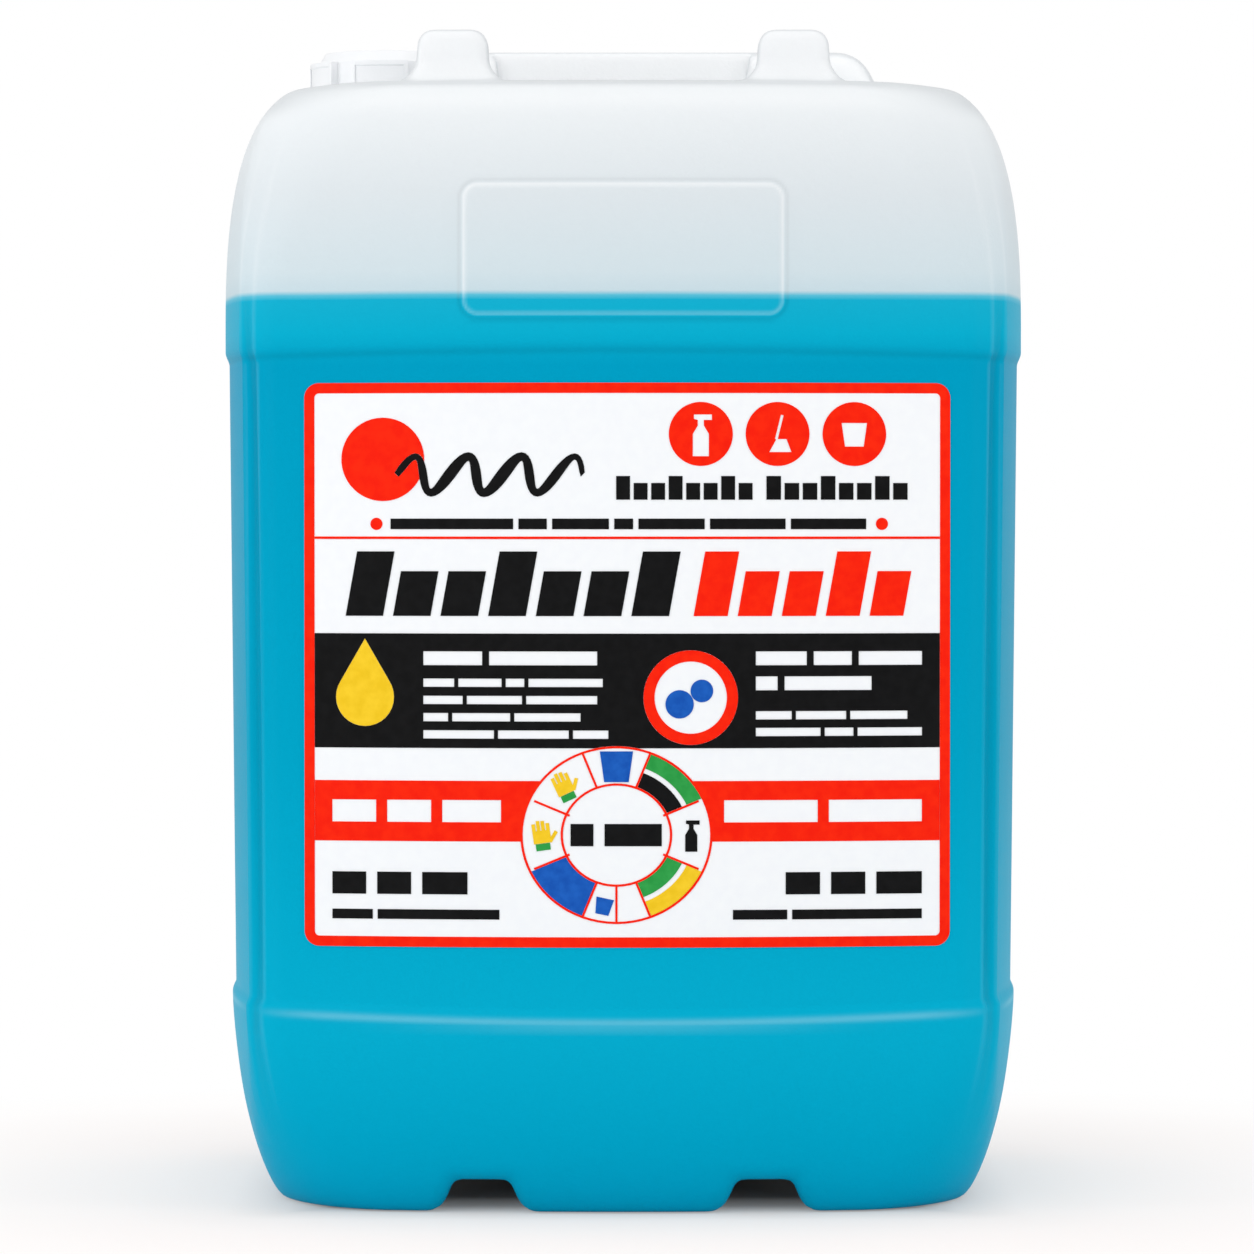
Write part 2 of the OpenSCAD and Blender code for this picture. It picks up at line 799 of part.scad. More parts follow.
// Part k of the wheel, between its rings and its dividers
module wheel_sector(k, inner = hub_r, outer = wheel_r) {
    half = 180 / wheel_parts;
    far = wheel_r * 1.6;
    margin = line_w / 2 + ink_gap;
    intersection() {
        difference() {
            wheel(outer - line_w - ink_gap);
            wheel(inner + line_w + ink_gap);
        }
        translate(wheel_centre)
            rotate(k * 2 * half)
                translate([margin / sin(half), 0])
                    polygon([[0, 0], [far * cos(half), -far * sin(half)], [far * cos(half), far * sin(half)]]);
    }
}

// Middle of part k of the wheel
function wheel_middle(k) =
    let (a = 360 * k / wheel_parts)
    wheel_centre + wheel_mid_r * [cos(a) * wheel_stretch, sin(a)];

// Glove on part k of the wheel, turned: a palm with four fingers and a thumb
module glove(k, turn) {
    palm = 6.4;
    finger = 1.3;
    translate(wheel_middle(k))
        rotate(turn) {
            translate([-palm / 2, -3])
                square([palm, 4.6]);
            for (i = [0:3])
                translate([-palm / 2 + i * (palm - finger) / 3, 1])
                    square([finger, 4.6 - abs(i - 1.4)]);
            translate([palm / 2 - 1, -2.4])
                rotate(-38)
                    square([finger, 4.4]);
        }
}

// The cuff of the same glove
module cuff(k, turn) {
    translate(wheel_middle(k))
        rotate(turn)
            translate([-2.6, -5.6])
                square([5.2, 2.5]);
}

module spray_bottle() {
    polygon([[-2.9, -8], [2.9, -8], [2.9, 0], [1.1, 3], [1.1, 5], [4, 5], [4, 7], [-2.5, 7], [-2.5, 5.4], [-1.1, 5],
             [-1.1, 3], [-2.9, 0]]);
}

module mop() {
    rotate(-14)
        translate([-0.5, -2])
            square([1, 9]);
    polygon([[-3, -6.5], [5, -6.5], [3.2, -1.8], [-0.4, -1.8]]);
}

module bucket() {
    polygon([[-3.4, -4.5], [3.4, -4.5], [4.6, 4], [-4.6, 4]]);
}

// The thin rings and dividers of the wheel
module wheel_lines() {
    dividers = concat([for (k = [0:wheel_parts - 1]) (k + 0.5) * 360 / wheel_parts], [-90]);
    for (r = [hub_r + line_w, wheel_r])
        difference() {
            wheel(r);
            wheel(r - line_w);
        }
    for (a = dividers)
        translate(wheel_centre)
            rotate(a)
                translate([hub_r + line_w / 2, -line_w / 2])
                    square([wheel_r - hub_r - line_w / 2, line_w]);
}

module print_red() {
    word_rows = [-56.5, -48.5];
    color("red")
        print_layer() {
            difference() {
                label_outline(0);
                label_outline(border_w);
            }
            laid_out() {
                difference() {
                    disc(bubble, bubble_r);
                    wave(ink_gap);
                }
                difference() {
                    for (x = disc_x)
                        disc([x, disc_y], disc_r);
                    translate([disc_x[0], disc_y])
                        spray_bottle();
                    translate([disc_x[1], disc_y])
                        mop();
                    translate([disc_x[2], disc_y])
                        bucket();
                }
                for (x = dot_x)
                    disc([x, (tagline[0] + tagline[1]) / 2], dot_r);
                band([rule_y - rule_t / 2, rule_y + rule_t / 2]);
                letter_blocks(title_red_x, [title[0], title_low_top], title[1], 5, 3.6, title_lean);
                difference() {
                    disc(ring_place, ring_r);
                    disc(ring_place, ring_r - ring_w);
                }
                difference() {
                    band(red_band);
                    wheel(wheel_r - line_w);
                    words([left_x, -45.4], word_rows, [3, 3, 4]);
                    words([34.8, right_x], word_rows, [8, 8]);
                }
                wheel_lines();
            }
        }
}

// Lines of small words in the black band: a heading of height head, then rows of the lower height
module black_band_words() {
    head_h = 5;
    row_h = 3;
    row_step = 6.2;
    left = -73.4;
    right = 46.2;
    left_rows = [[-8.8, [5, 7, 3, 12]], [-10.8, [5, 7, 9]], [-16.8, [3, 7, 8]], [-6.8, [10, 10, 5]]];
    words([left, -10.8], [0, head_h], [6, 11]);
    for (i = [0:3])
        let (y = -7.8 - i * row_step)
        words([left, left_rows[i][0]], [y, y + row_h], left_rows[i][1]);
    words([right, right_x], [0, head_h], [4, 3, 5]);
    words([right, 88], [-9, head_h - 9], [2, 8]);
    for (row = [[101, -19.5, [5, 7, 8]], [right_x, -25.5, [9, 4, 9]]])
        words([right, row[0]], [row[1], row[1] + row_h], row[2]);
}

module print_black() {
    hub_row = [-65, -57];
    number_row = [-82.5, -74.5];
    small_row = [-91.5, -88];
    color([0.05, 0.05, 0.05])
        print_layer()
            laid_out() {
                wave(0);
                for (x = [[-4, 45], [50, 101]])
                    letter_blocks(x, bold_row, bold_top, 8, 1.3, 0);
                words([-85.2, 86], tagline, [13, 3, 6, 2, 7, 8, 8]);
                letter_blocks(title_black_x, [title[0], title_low_top], title[1], 7, 3.6, title_lean);
                difference() {
                    band(black_band);
                    wheel(wheel_r + ink_gap);
                    disc(ring_place, ring_r + ink_gap);
                    drop(ink_gap);
                    black_band_words();
                }
                words([-20.4, 12.4], hub_row, [2, 5]);
                words([left_x, -57.5], number_row, [3, 3, 4]);
                words([57, right_x], number_row, [3, 3, 4]);
                words([left_x, -46], small_row, [4, 12]);
                words([38, right_x], small_row, [5, 12]);
                wheel_sector(1, hub_r, wheel_mid_r);
                translate(wheel_middle(0))
                    scale(0.75)
                        spray_bottle();
            }
}

// Drop of liquid on the black band, grown by g
module drop(g) {
    rise = 30;
    offset(delta = g)
        translate(drop_place) {
            circle(r = drop_r, $fn = 32);
            polygon(drop_r * [[-cos(rise), sin(rise)], [0, 1 / sin(rise)], [cos(rise), sin(rise)]]);
        }
}

module print_blue() {
    color([0.1, 0.35, 0.75])
        print_layer()
            laid_out() {
                translate(wheel_middle(2))
                    scale(1.3)
                        bucket();
                wheel_sector(5);
                translate(wheel_middle(6) - [4.6, 0.6])
                    rotate(-12)
                        scale(0.7)
                            bucket();
                disc(ring_place - ring_w * [1, 0.6], ring_r * 0.3);
                disc(ring_place + ring_w * [1, 0.6], ring_r * 0.24);
            }
}

module print_green() {
    color([0.2, 0.6, 0.25])
        print_layer()
            laid_out() {
                wheel_sector(1, wheel_mid_r, wheel_r);
                wheel_sector(7, hub_r, wheel_mid_r);
                cuff(3, 25);
                cuff(4, 8);
            }
}

module print_yellow() {
    color([0.95, 0.75, 0.1])
        print_layer()
            laid_out() {
                drop(0);
                glove(3, 25);
                glove(4, 8);
                wheel_sector(7, wheel_mid_r, wheel_r);
            }
}

can();
liquid();
screw_cap();
cap_liner();
tamper_band();
label();
print_red();
print_black();
print_blue();
print_green();
print_yellow();
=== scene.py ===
import math

import bmesh
import bpy
import numpy as np
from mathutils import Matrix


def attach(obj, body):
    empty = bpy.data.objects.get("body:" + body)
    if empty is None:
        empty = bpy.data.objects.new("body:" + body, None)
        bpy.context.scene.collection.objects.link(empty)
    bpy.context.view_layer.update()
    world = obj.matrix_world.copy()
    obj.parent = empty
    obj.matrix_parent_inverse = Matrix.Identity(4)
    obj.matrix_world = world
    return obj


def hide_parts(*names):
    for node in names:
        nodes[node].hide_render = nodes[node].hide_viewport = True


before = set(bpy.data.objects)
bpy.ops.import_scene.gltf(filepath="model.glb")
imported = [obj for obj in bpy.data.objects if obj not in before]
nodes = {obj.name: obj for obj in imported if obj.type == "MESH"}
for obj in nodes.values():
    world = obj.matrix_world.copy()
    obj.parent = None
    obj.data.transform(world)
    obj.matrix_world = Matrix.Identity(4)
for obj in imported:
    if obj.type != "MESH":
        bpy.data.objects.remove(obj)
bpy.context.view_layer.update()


# Can
# One blow-moulded shell of natural polyethylene, about 2 mm thick. The mould leaves every edge soft,
# so the whole skin is one smooth surface: two ridges with lugs, the sunken deck, the handle and its
# finger well, the raised pad, the fluted corners and the two channels under the foot.
MM = 0.001


def mix(a, b, t):
    """The value at share t of the way from a to b."""
    return a + (b - a) * t


def ease(low, high, v):
    """Smooth step from 0 at low to 1 at high."""
    t = np.clip((v - low) / (high - low), 0, 1)
    return t * t * (3 - 2 * t)


def swell(t, n):
    """Quarter of a superellipse of power n: steep from 0 at first, level at 1 in the end."""
    return np.clip(1 - (1 - np.clip(t, 0, 1)) ** n, 0, 1) ** (1 / n)


def blend_min(a, b, r):
    """The smaller of two distances, with the crease where they meet rounded over r."""
    h = np.maximum(r - np.abs(a - b), 0) / r
    return np.minimum(a, b) - h * h * r / 4


def blend_max(a, b, r):
    """The larger of two distances, with the edge where they meet rounded over r."""
    return -blend_min(-a, -b, r)


# Half width and half depth: at the foot, at both ends of the waist, at the widest place and at the rim.
FOOT = (128.0, 104.5)
WAIST_LOW = (146.2, 127.0)
WAIST_HIGH = (148.4, 127.0)
WIDEST = (149.9, 128.5)
RIM = (115.0, 104.0)
LEDGE_OUT = 1.3
FOOT_SWELL = 1.6
SHOULDER_SWELL = 2.65
BAND_Z = 72.0
WAIST_Z = 76.0
STEP_Z = 309.0
STEP_TOP_Z = 314.0
SHOULDER_Z = 320.0
CROWN_Z = 411.4


def reach(z, k):
    """Half width (k 0) or half depth (k 1) of the can at height z."""
    full = WIDEST[k]
    foot = mix(FOOT[k], WAIST_LOW[k] + LEDGE_OUT, swell(z / BAND_Z, FOOT_SWELL))
    waist = mix(WAIST_LOW[k], WAIST_HIGH[k], (z - WAIST_Z) / (STEP_Z - WAIST_Z))
    ledge = mix(WAIST_LOW[k] + LEDGE_OUT, waist, ease(BAND_Z, WAIST_Z, z))
    step = mix(waist, full, ease(STEP_Z, STEP_TOP_Z, z))
    shoulder = mix(RIM[k], full, swell((CROWN_Z - z) / (CROWN_Z - SHOULDER_Z), SHOULDER_SWELL))
    out = np.where(z < BAND_Z, foot, ledge)
    out = np.where(z > STEP_Z, step, out)
    return np.where(z > STEP_TOP_Z, shoulder, out)


def sag(v, r):
    """How far a face that bows with radius r has drawn back at distance v from its middle."""
    v = np.minimum(np.abs(v), r * 0.9)
    return r - np.sqrt(r * r - v * v)


LEDGE_RISE = 3.0
STEP_RISE = 2.2
BOW_HALF = 134


def unbent(ax, z):
    """Height before the ledge is bowed up towards the corners, and the upper step towards the middle."""
    aside = np.minimum(ax / BOW_HALF, 1) ** 2
    ledge = LEDGE_RISE * aside * ease(30, 68, z) * (1 - ease(84, 130, z))
    return z - ledge - STEP_RISE * (1 - aside) * ease(288, 306, z) * (1 - ease(322, 346, z))


FRONT_BOW = 620.0
SIDE_BOW = 480.0
CORNER = (11.0, 13.0)
FOOT_CORNER = (33.5, 42.0)
RIM_CORNER = (34.0, 28.0)
FLUTE_DEPTH = 3.0
FLUTE_HALF = 5.4
FLUTE_BACK = (14.06, 23.66)
FLUTE_RUN = (0.555, -0.832)


def plan(x, y, z):
    """How far a point lies outside the can's outline at its own height."""
    ax = np.abs(x)
    ay = np.abs(y)
    z = unbent(ax, z)
    w = reach(z, 0)
    d = reach(z, 1)
    low = ease(0, BAND_Z, z)
    high = ease(SHOULDER_Z, CROWN_Z, z)
    cw = mix(mix(FOOT_CORNER[0], CORNER[0], low), RIM_CORNER[0], high)
    cd = mix(mix(FOOT_CORNER[1], CORNER[1], low), RIM_CORNER[1], high)
    ux = np.maximum(ax + sag(y, SIDE_BOW) - w + cw, 0) / cw
    uy = np.maximum(ay + sag(x, FRONT_BOW) - d + cd, 0) / cd
    total = ux * ux + uy * uy
    corner = (cw * ux * ux + cd * uy * uy) / np.maximum(total, 1e-9)
    scale = np.where(total > 0, corner, np.minimum(cw, cd))
    f = (np.sqrt(total) - 1) * scale
    flute = np.clip(1 - (flute_place(ax, ay, w, d) / FLUTE_HALF) ** 4, 0, 1)
    return f + FLUTE_DEPTH * flute_fade(z) * flute


def flute_place(ax, ay, w, d):
    """Distance across a corner's flute, from its middle."""
    return (ax - w + FLUTE_BACK[0]) * FLUTE_RUN[0] + (ay - d + FLUTE_BACK[1]) * FLUTE_RUN[1]


def flute_fade(z):
    """Share of the flutes' full depth at a height: they run out at both ends."""
    return ease(24, 100, z) * (1 - ease(288, 350, z))


PAD_HALF = (57.3, 23.3)
PAD_Z = 349.1
PAD_CORNER = 5.0
PAD_OUT = 0.65


def pad_edge(x, z):
    """How far a point lies outside the pad's outline."""
    dx = np.abs(x) - PAD_HALF[0] + PAD_CORNER
    dz = np.abs(z - PAD_Z) - PAD_HALF[1] + PAD_CORNER
    return np.hypot(np.maximum(dx, 0), np.maximum(dz, 0)) + np.minimum(np.maximum(dx, dz), 0) - PAD_CORNER


def pad_mask(x, y, z):
    """One on the pad, which is only on the front, and zero away from it."""
    return np.where(y < 0, 1 - ease(-1.4, 1.0, pad_edge(x, z)), 0)


def skin(x, y, z):
    """Distance, roughly, from the can's plain sides, with the pad: negative inside."""
    return plan(x, y, z) - PAD_OUT * pad_mask(x, y, z)


def steady(f, x, y, z):
    """Turns a level function into a distance by its own slope."""
    h = 0.02
    here = f(x, y, z)
    gx = (f(x + h, y, z) - here) / h
    gy = (f(x, y + h, z) - here) / h
    gz = (here - f(x, y, z - h)) / h
    return here / np.maximum(np.sqrt(gx * gx + gy * gy + gz * gz), 0.7)


def round_box(x, y, z, cx, cy, cz, r):
    """Distance from a box with round edges, from its half sizes."""
    qx = np.abs(x) - cx + r
    qy = np.abs(y) - cy + r
    qz = np.abs(z) - cz + r
    out = np.sqrt(np.maximum(qx, 0) ** 2 + np.maximum(qy, 0) ** 2 + np.maximum(qz, 0) ** 2)
    return out + np.minimum(np.maximum(qx, np.maximum(qy, qz)), 0) - r


RIDGE_Z = 413.0
RIDGE_TOP = (93.0, 98.0)
RIDGE_FRONT = (98.0, 104.0)
LUG_X = 62.0
LUG_RISE = 17.0
LUG_FACE = 99.0
LUG_DEPTH = 23.0
LUG_HALF = (13.5, 12.5)
DECK_Z = 395.0
DECK_HALF = 42
HANDLE_Z = 427.8
HANDLE_LEFT = -57
HANDLE_RIGHT = (93.4, 107.6)
HANDLE_HALF = 17
SCOOP_HALF = 47.6
SCOOP_FACE = 21.8
SCOOP_DEPTH = 8.2
GRIP_UNDER_Z = 406.0
WELL_Z = 371.0
WELL_HALF = (47.5, 38)
NECK_X = -88.6
NECK_SEAT_R = 28.2
NECK_HOLE = 20.6


def top_form(x, y, z):
    """The can above the seam: shoulder, ridges, lugs, deck, handle, finger well and the hole of the neck."""
    level = (1 - ease(RIDGE_TOP[0], RIM[0], np.abs(x))) * (1 - ease(*RIDGE_FRONT, np.abs(y)))
    crown = CROWN_Z + (RIDGE_Z - CROWN_Z) * level
    f = blend_max(steady(plan, x, y, np.minimum(z, CROWN_Z - 0.01)), z - crown, 4.0)
    half_lug = mix(*LUG_HALF, (z - RIDGE_Z) / LUG_RISE)
    side = np.abs(np.abs(x) - LUG_X) - half_lug
    front = np.abs(np.abs(y) - LUG_FACE + LUG_DEPTH / 2) - LUG_DEPTH / 2
    lug = blend_max(blend_max(side, z - RIDGE_Z - LUG_RISE, 6.5), front, 4.7)
    lug = np.maximum(lug, RIDGE_Z - 14 - z)
    f = blend_min(f, lug, 7.0)
    wall = DECK_HALF + (z - DECK_Z) * 0.3
    deck = blend_max(np.abs(y) - wall, DECK_Z - z, 9.0)
    f = blend_max(f, -deck, 5.0)
    slope_x = mix(*HANDLE_RIGHT, (HANDLE_Z - 8.5 - z) / 26.5)
    ends = blend_max(HANDLE_LEFT - x, (x - slope_x) * 0.87, 4.0)
    block = blend_max(blend_max(ends, z - HANDLE_Z, 8.0), np.abs(y) - HANDLE_HALF, 7.0)
    block = np.maximum(block, DECK_Z - 8 - z)
    f = blend_min(f, block, 5.0)
    lean = (HANDLE_Z - 2 - z) * 0.13
    for side in (-1, 1):
        scoop = np.maximum(np.abs(x + 0.25) - SCOOP_HALF + lean, z - HANDLE_Z + 2.0)
        scoop = np.maximum(scoop, np.abs(side * y - SCOOP_FACE) - SCOOP_DEPTH)
        scoop = np.maximum(scoop, GRIP_UNDER_Z - 4 - z)
        f = blend_max(f, -scoop, 2.0)
    middle = (WELL_Z + GRIP_UNDER_Z) / 2
    reach_z = (GRIP_UNDER_Z - WELL_Z) / 2
    tunnel = round_box(x, y * 0, z - middle, WELL_HALF[0], 99, reach_z, 12)
    well = round_box(x, y, z - middle - 20, *WELL_HALF, reach_z + 20, 13)
    well = blend_max(tunnel, well, 3.0)
    f = blend_max(f, -well, 4.0)
    seat = np.maximum(np.hypot(x - NECK_X, y) - NECK_SEAT_R, z - DECK_Z - 4.5)
    seat = np.maximum(seat, DECK_Z - 6 - z)
    f = blend_min(f, seat, 2.5)
    return np.maximum(f, NECK_HOLE - np.hypot(x - NECK_X, y))


CHANNEL_X = 51.3
CHANNEL_Z = 12.4
CHANNEL_HALF = (15.0, 10.0)


def foot_form(x, y, z):
    """The can below the seam: the foot with its two channels, whose mouths flare."""
    f = blend_max(steady(plan, x, y, np.maximum(z, 0.05)), -z, 1.2)
    run = mix(*CHANNEL_HALF, np.clip(z / CHANNEL_Z, -1, 1))
    slot = blend_max((np.abs(np.abs(x) - CHANNEL_X) - run) * 0.93, z - CHANNEL_Z, 3.0)
    return blend_max(f, -slot, 6.0)


def surface_net(form, low, high, step, drop=None):
    """Mesh of the level set of form inside a box of grid cells, each corner set onto the surface."""
    axes = [np.arange(low[k], high[k] + step * 0.5, step) for k in range(3)]
    grid = np.meshgrid(*axes, indexing="ij")
    f = form(*grid)
    n = [len(a) - 1 for a in axes]
    total = np.zeros(n + [3])
    count = np.zeros(n)
    corners = [(i, j, k) for i in (0, 1) for j in (0, 1) for k in (0, 1)]
    pairs = [(a, b) for a in corners for b in corners
             if a < b and sum(p != q for p, q in zip(a, b)) == 1]

    def part(c):
        return f[c[0]:c[0] + n[0], c[1]:c[1] + n[1], c[2]:c[2] + n[2]]

    for a, b in pairs:
        fa = part(a)
        fb = part(b)
        cross = (fa < 0) != (fb < 0)
        t = np.where(cross, fa / np.where(fa == fb, 1, fa - fb), 0)
        for k in range(3):
            total[..., k] += np.where(cross, a[k] + (b[k] - a[k]) * t, 0)
        count += cross
    live = count > 0
    index = -np.ones(n, dtype=int)
    index[live] = np.arange(live.sum())
    cell = np.argwhere(live)
    points = (cell + total[live] / count[live][:, None]) * step + np.array(low)
    for _ in range(4):
        h = 0.05
        x, y, z = points.T
        here = form(x, y, z)
        slope = np.stack([
            form(x + h, y, z) - form(x - h, y, z),
            form(x, y + h, z) - form(x, y - h, z),
            form(x, y, z + h) - form(x, y, z - h)], axis=1) / (2 * h)
        length = np.maximum((slope ** 2).sum(axis=1), 0.2)
        move = slope * (here / length)[:, None]
        size = np.linalg.norm(move, axis=1)
        move *= np.minimum(1, 0.4 * step / np.maximum(size, 1e-9))[:, None]
        points = points - move
    quads = []
    for axis in range(3):
        u = (axis + 1) % 3
        v = (axis + 2) % 3
        a = [slice(None)] * 3
        b = [slice(None)] * 3
        a[axis] = slice(0, -1)
        b[axis] = slice(1, None)
        inside = f[tuple(a)] < 0
        cross = inside != (f[tuple(b)] < 0)
        ring = []
        for du, dv in ((-1, -1), (0, -1), (0, 0), (-1, 0)):
            where = [slice(None)] * 3
            where[u] = slice(1 + du, n[u] + du)
            where[v] = slice(1 + dv, n[v] + dv)
            ring.append(index[tuple(where)])
        keep = [slice(None)] * 3
        keep[u] = slice(1, n[u])
        keep[v] = slice(1, n[v])
        hit = cross[tuple(keep)]
        out = inside[tuple(keep)][hit]
        face = np.stack([r[hit] for r in ring], axis=1)
        face[~out] = face[~out][:, ::-1]
        quads.append(face[(face >= 0).all(axis=1)])
    quads = np.concatenate(quads)
    if drop:
        away = drop(*((cell + 0.5) * step + np.array(low)).T)
        quads = quads[~away[quads].any(axis=1)]
    return points, quads


def spread(*runs):
    """Numbers along runs of (start, end, step), without the last end."""
    out = []
    for start, end, step in runs:
        n = max(1, round((end - start) / step))
        out += [start + (end - start) * i / n for i in range(n)]
    return out


SEAM_TOP = 380.4
SEAM_LOW = 23.5
RAY_FOOT = (112.0, 88.0)
RAY_LONG = 90.0


def side_wall():
    """Rings of points from seam to seam, each found along a ray from inside the can."""
    rows = spread((SEAM_LOW, 70, 4), (70, 80.5, 0.7), (80.5, 307, 7), (307, 318, 0.7), (318, 324, 2.0),
                  (324, 333, 0.85), (333, 365, 5), (365, 375, 0.85), (375, SEAM_TOP - 1, 1.5))
    rows.append(SEAM_TOP - 1)
    wide, deep = RAY_FOOT
    fine = spread((0, 48, 9), (48, 52, 2), (52, 60, 0.85), (60, wide, 6)) + [wide]
    plain = spread((0, wide, 8)) + [wide]
    sides = spread((0, deep, 8)) + [deep]
    turn = 22

    def quarter(front):
        start = [(x, 60.0, 0.0, 1.0) for x in front]
        for i in range(1, turn):
            a = math.pi / 2 * i / turn
            start.append((wide, deep, math.sin(a), math.cos(a)))
        start += [(80.0, y, 1.0, 0.0) for y in reversed(sides)]
        return start

    near = quarter(fine)
    far = quarter(plain)
    rays = [(x, -y, dx, -dy) for x, y, dx, dy in near[:-1]]
    rays += [(x, y, dx, dy) for x, y, dx, dy in far[::-1][:-1]]
    rays += [(-x, y, -dx, dy) for x, y, dx, dy in far[:-1]]
    rays += [(-x, -y, -dx, -dy) for x, y, dx, dy in near[::-1][:-1]]
    rays = np.array(rays)
    z = np.repeat(np.array(rows)[:, None], len(rays), axis=1)
    near_t = np.zeros_like(z)
    far_t = near_t + RAY_LONG
    for _ in range(40):
        t = (near_t + far_t) / 2
        f = skin(rays[:, 0] + rays[:, 2] * t, rays[:, 1] + rays[:, 3] * t, z)
        near_t = np.where(f < 0, t, near_t)
        far_t = np.where(f < 0, far_t, t)
    points = np.stack([rays[:, 0] + rays[:, 2] * t, rays[:, 1] + rays[:, 3] * t, z], axis=2)
    m, n = points.shape[:2]
    faces = []
    for i in range(m - 1):
        for j in range(n):
            k = (j + 1) % n
            faces.append((i * n + j, i * n + k, (i + 1) * n + k, (i + 1) * n + j))
    return points.reshape(-1, 3), faces


def new_mesh(name, points, faces):
    """A new object from points in mm and faces as rows of point numbers."""
    mesh = bpy.data.meshes.new(name)
    spots = [tuple(float(c) * MM for c in p) for p in points]
    mesh.from_pydata(spots, [], [tuple(map(int, f)) for f in faces])
    obj = bpy.data.objects.new(name, mesh)
    bpy.context.collection.objects.link(obj)
    return obj


def pick(obj):
    """Makes one object the only selected one."""
    bpy.ops.object.select_all(action="DESELECT")
    obj.select_set(True)
    bpy.context.view_layer.objects.active = obj


def open_loops(bm, height, slack):
    """Edges with one face whose points lie near a height."""
    return [e for e in bm.edges if e.is_boundary and all(abs(v.co.z - height) < slack for v in e.verts)]


def zip_seam(bm, edges):
    """Fills the gap between the two open loops at a seam, going round both of them by angle."""
    near = sorted({v for e in edges for v in e.verts}, key=lambda v: math.atan2(v.co.y, v.co.x))
    half = (min(v.co.z for v in near) + max(v.co.z for v in near)) / 2
    low = [v for v in near if v.co.z < half]
    high = [v for v in near if v.co.z >= half]

    def angle(loop, i):
        turns, k = divmod(i, len(loop))
        return math.atan2(loop[k].co.y, loop[k].co.x) + math.tau * turns

    i = j = 0
    while i < len(low) or j < len(high):
        a = low[i % len(low)]
        b = high[j % len(high)]
        if j == len(high) or (i < len(low) and angle(low, i + 1) < angle(high, j + 1)):
            i += 1
            bm.faces.new((a, low[i % len(low)], b))
        else:
            j += 1
            bm.faces.new((a, high[j % len(high)], b))


WELL_CLEAR = (125.0, 60.0)


def cut_level(obj, height, keep):
    """Cuts the outer skin off level at a seam and keeps the part above (1) or below (-1)."""
    bm = bmesh.new()
    bm.from_mesh(obj.data)

    def at_seam(face, reach_z):
        spot = face.calc_center_median() / MM
        outside = abs(spot.x) > WELL_CLEAR[0] or abs(spot.y) > WELL_CLEAR[1]
        return outside and (height - spot.z) * keep > -reach_z

    faces = [f for f in bm.faces if at_seam(f, 4)]
    geom = list({v for f in faces for v in f.verts}) + list({e for f in faces for e in f.edges}) + faces
    bmesh.ops.bisect_plane(bm, geom=geom, dist=1e-6, plane_co=(0, 0, height * MM), plane_no=(0, 0, 1))
    bmesh.ops.delete(bm, geom=[f for f in bm.faces if at_seam(f, 0)], context="FACES")
    bm.to_mesh(obj.data)
    bm.free()


def below_seam(x, y, z):
    """True for the cells of the outer skin under the seam; the finger well runs deeper and is kept."""
    return (z < SEAM_TOP - 4) & ((np.abs(x) > WELL_CLEAR[0]) | (np.abs(y) > WELL_CLEAR[1]))


TOP_LOW_Z = 366.0
TOP_STEP = 1.8
FOOT_STEP = 2.2
HOLE_LOW_Z = 328.0
HOLE_SLACK = 0.003
SEAM_SLACK = 0.004


def build_can():
    """Joins the top, the side wall and the foot into one shell, and closes the neck's hole inside."""
    top = surface_net(top_form, (-152.1, -129.6, TOP_LOW_Z), (152.1, 129.6, 432.0), TOP_STEP, below_seam)
    foot = surface_net(foot_form, (-151.8, -129.8, -1.7), (151.8, 129.8, SEAM_LOW + 2), FOOT_STEP)
    side = side_wall()
    parts = [new_mesh("can_top", *top), new_mesh("can_foot", *foot), new_mesh("can_skin", *side)]
    cut_level(parts[0], SEAM_TOP, 1)
    cut_level(parts[1], SEAM_LOW - 1, -1)
    bpy.ops.object.select_all(action="DESELECT")
    for p in parts:
        p.select_set(True)
    bpy.context.view_layer.objects.active = parts[2]
    bpy.ops.object.join()
    shell = parts[2]
    bm = bmesh.new()
    bm.from_mesh(shell.data)
    loose = [v for v in bm.verts if not v.link_faces]
    bmesh.ops.delete(bm, geom=loose, context="VERTS")
    hole = [e for e in open_loops(bm, TOP_LOW_Z * MM, HOLE_SLACK)
            if math.hypot(e.verts[0].co.x - NECK_X * MM, e.verts[0].co.y) < NECK_SEAT_R * MM]
    made = bmesh.ops.extrude_edge_only(bm, edges=hole)["geom"]
    low = [g for g in made if isinstance(g, bmesh.types.BMVert)]
    for v in low:
        v.co.z = HOLE_LOW_Z * MM
    rim = [g for g in made if isinstance(g, bmesh.types.BMEdge)]
    bmesh.ops.contextual_create(bm, geom=rim)
    for height in (SEAM_TOP, SEAM_LOW):
        zip_seam(bm, open_loops(bm, height * MM, SEAM_SLACK))
    bmesh.ops.recalc_face_normals(bm, faces=bm.faces)
    bm.to_mesh(shell.data)
    bm.free()
    for poly in shell.data.polygons:
        poly.use_smooth = True
    # Each point keeps a value of painted light and shade, which the wall's material mixes into its colour.
    place = np.empty(len(shell.data.vertices) * 3)
    shell.data.vertices.foreach_get("co", place)
    normal = np.empty(len(shell.data.vertices) * 3)
    shell.data.vertex_normals.foreach_get("vector", normal)
    light = painted_light_and_shade((place / MM).reshape(-1, 3).T, normal.reshape(-1, 3).T)
    shell.data.attributes.new("painted_light_and_shade", "FLOAT", "POINT").data.foreach_set("value", light)
    return shell


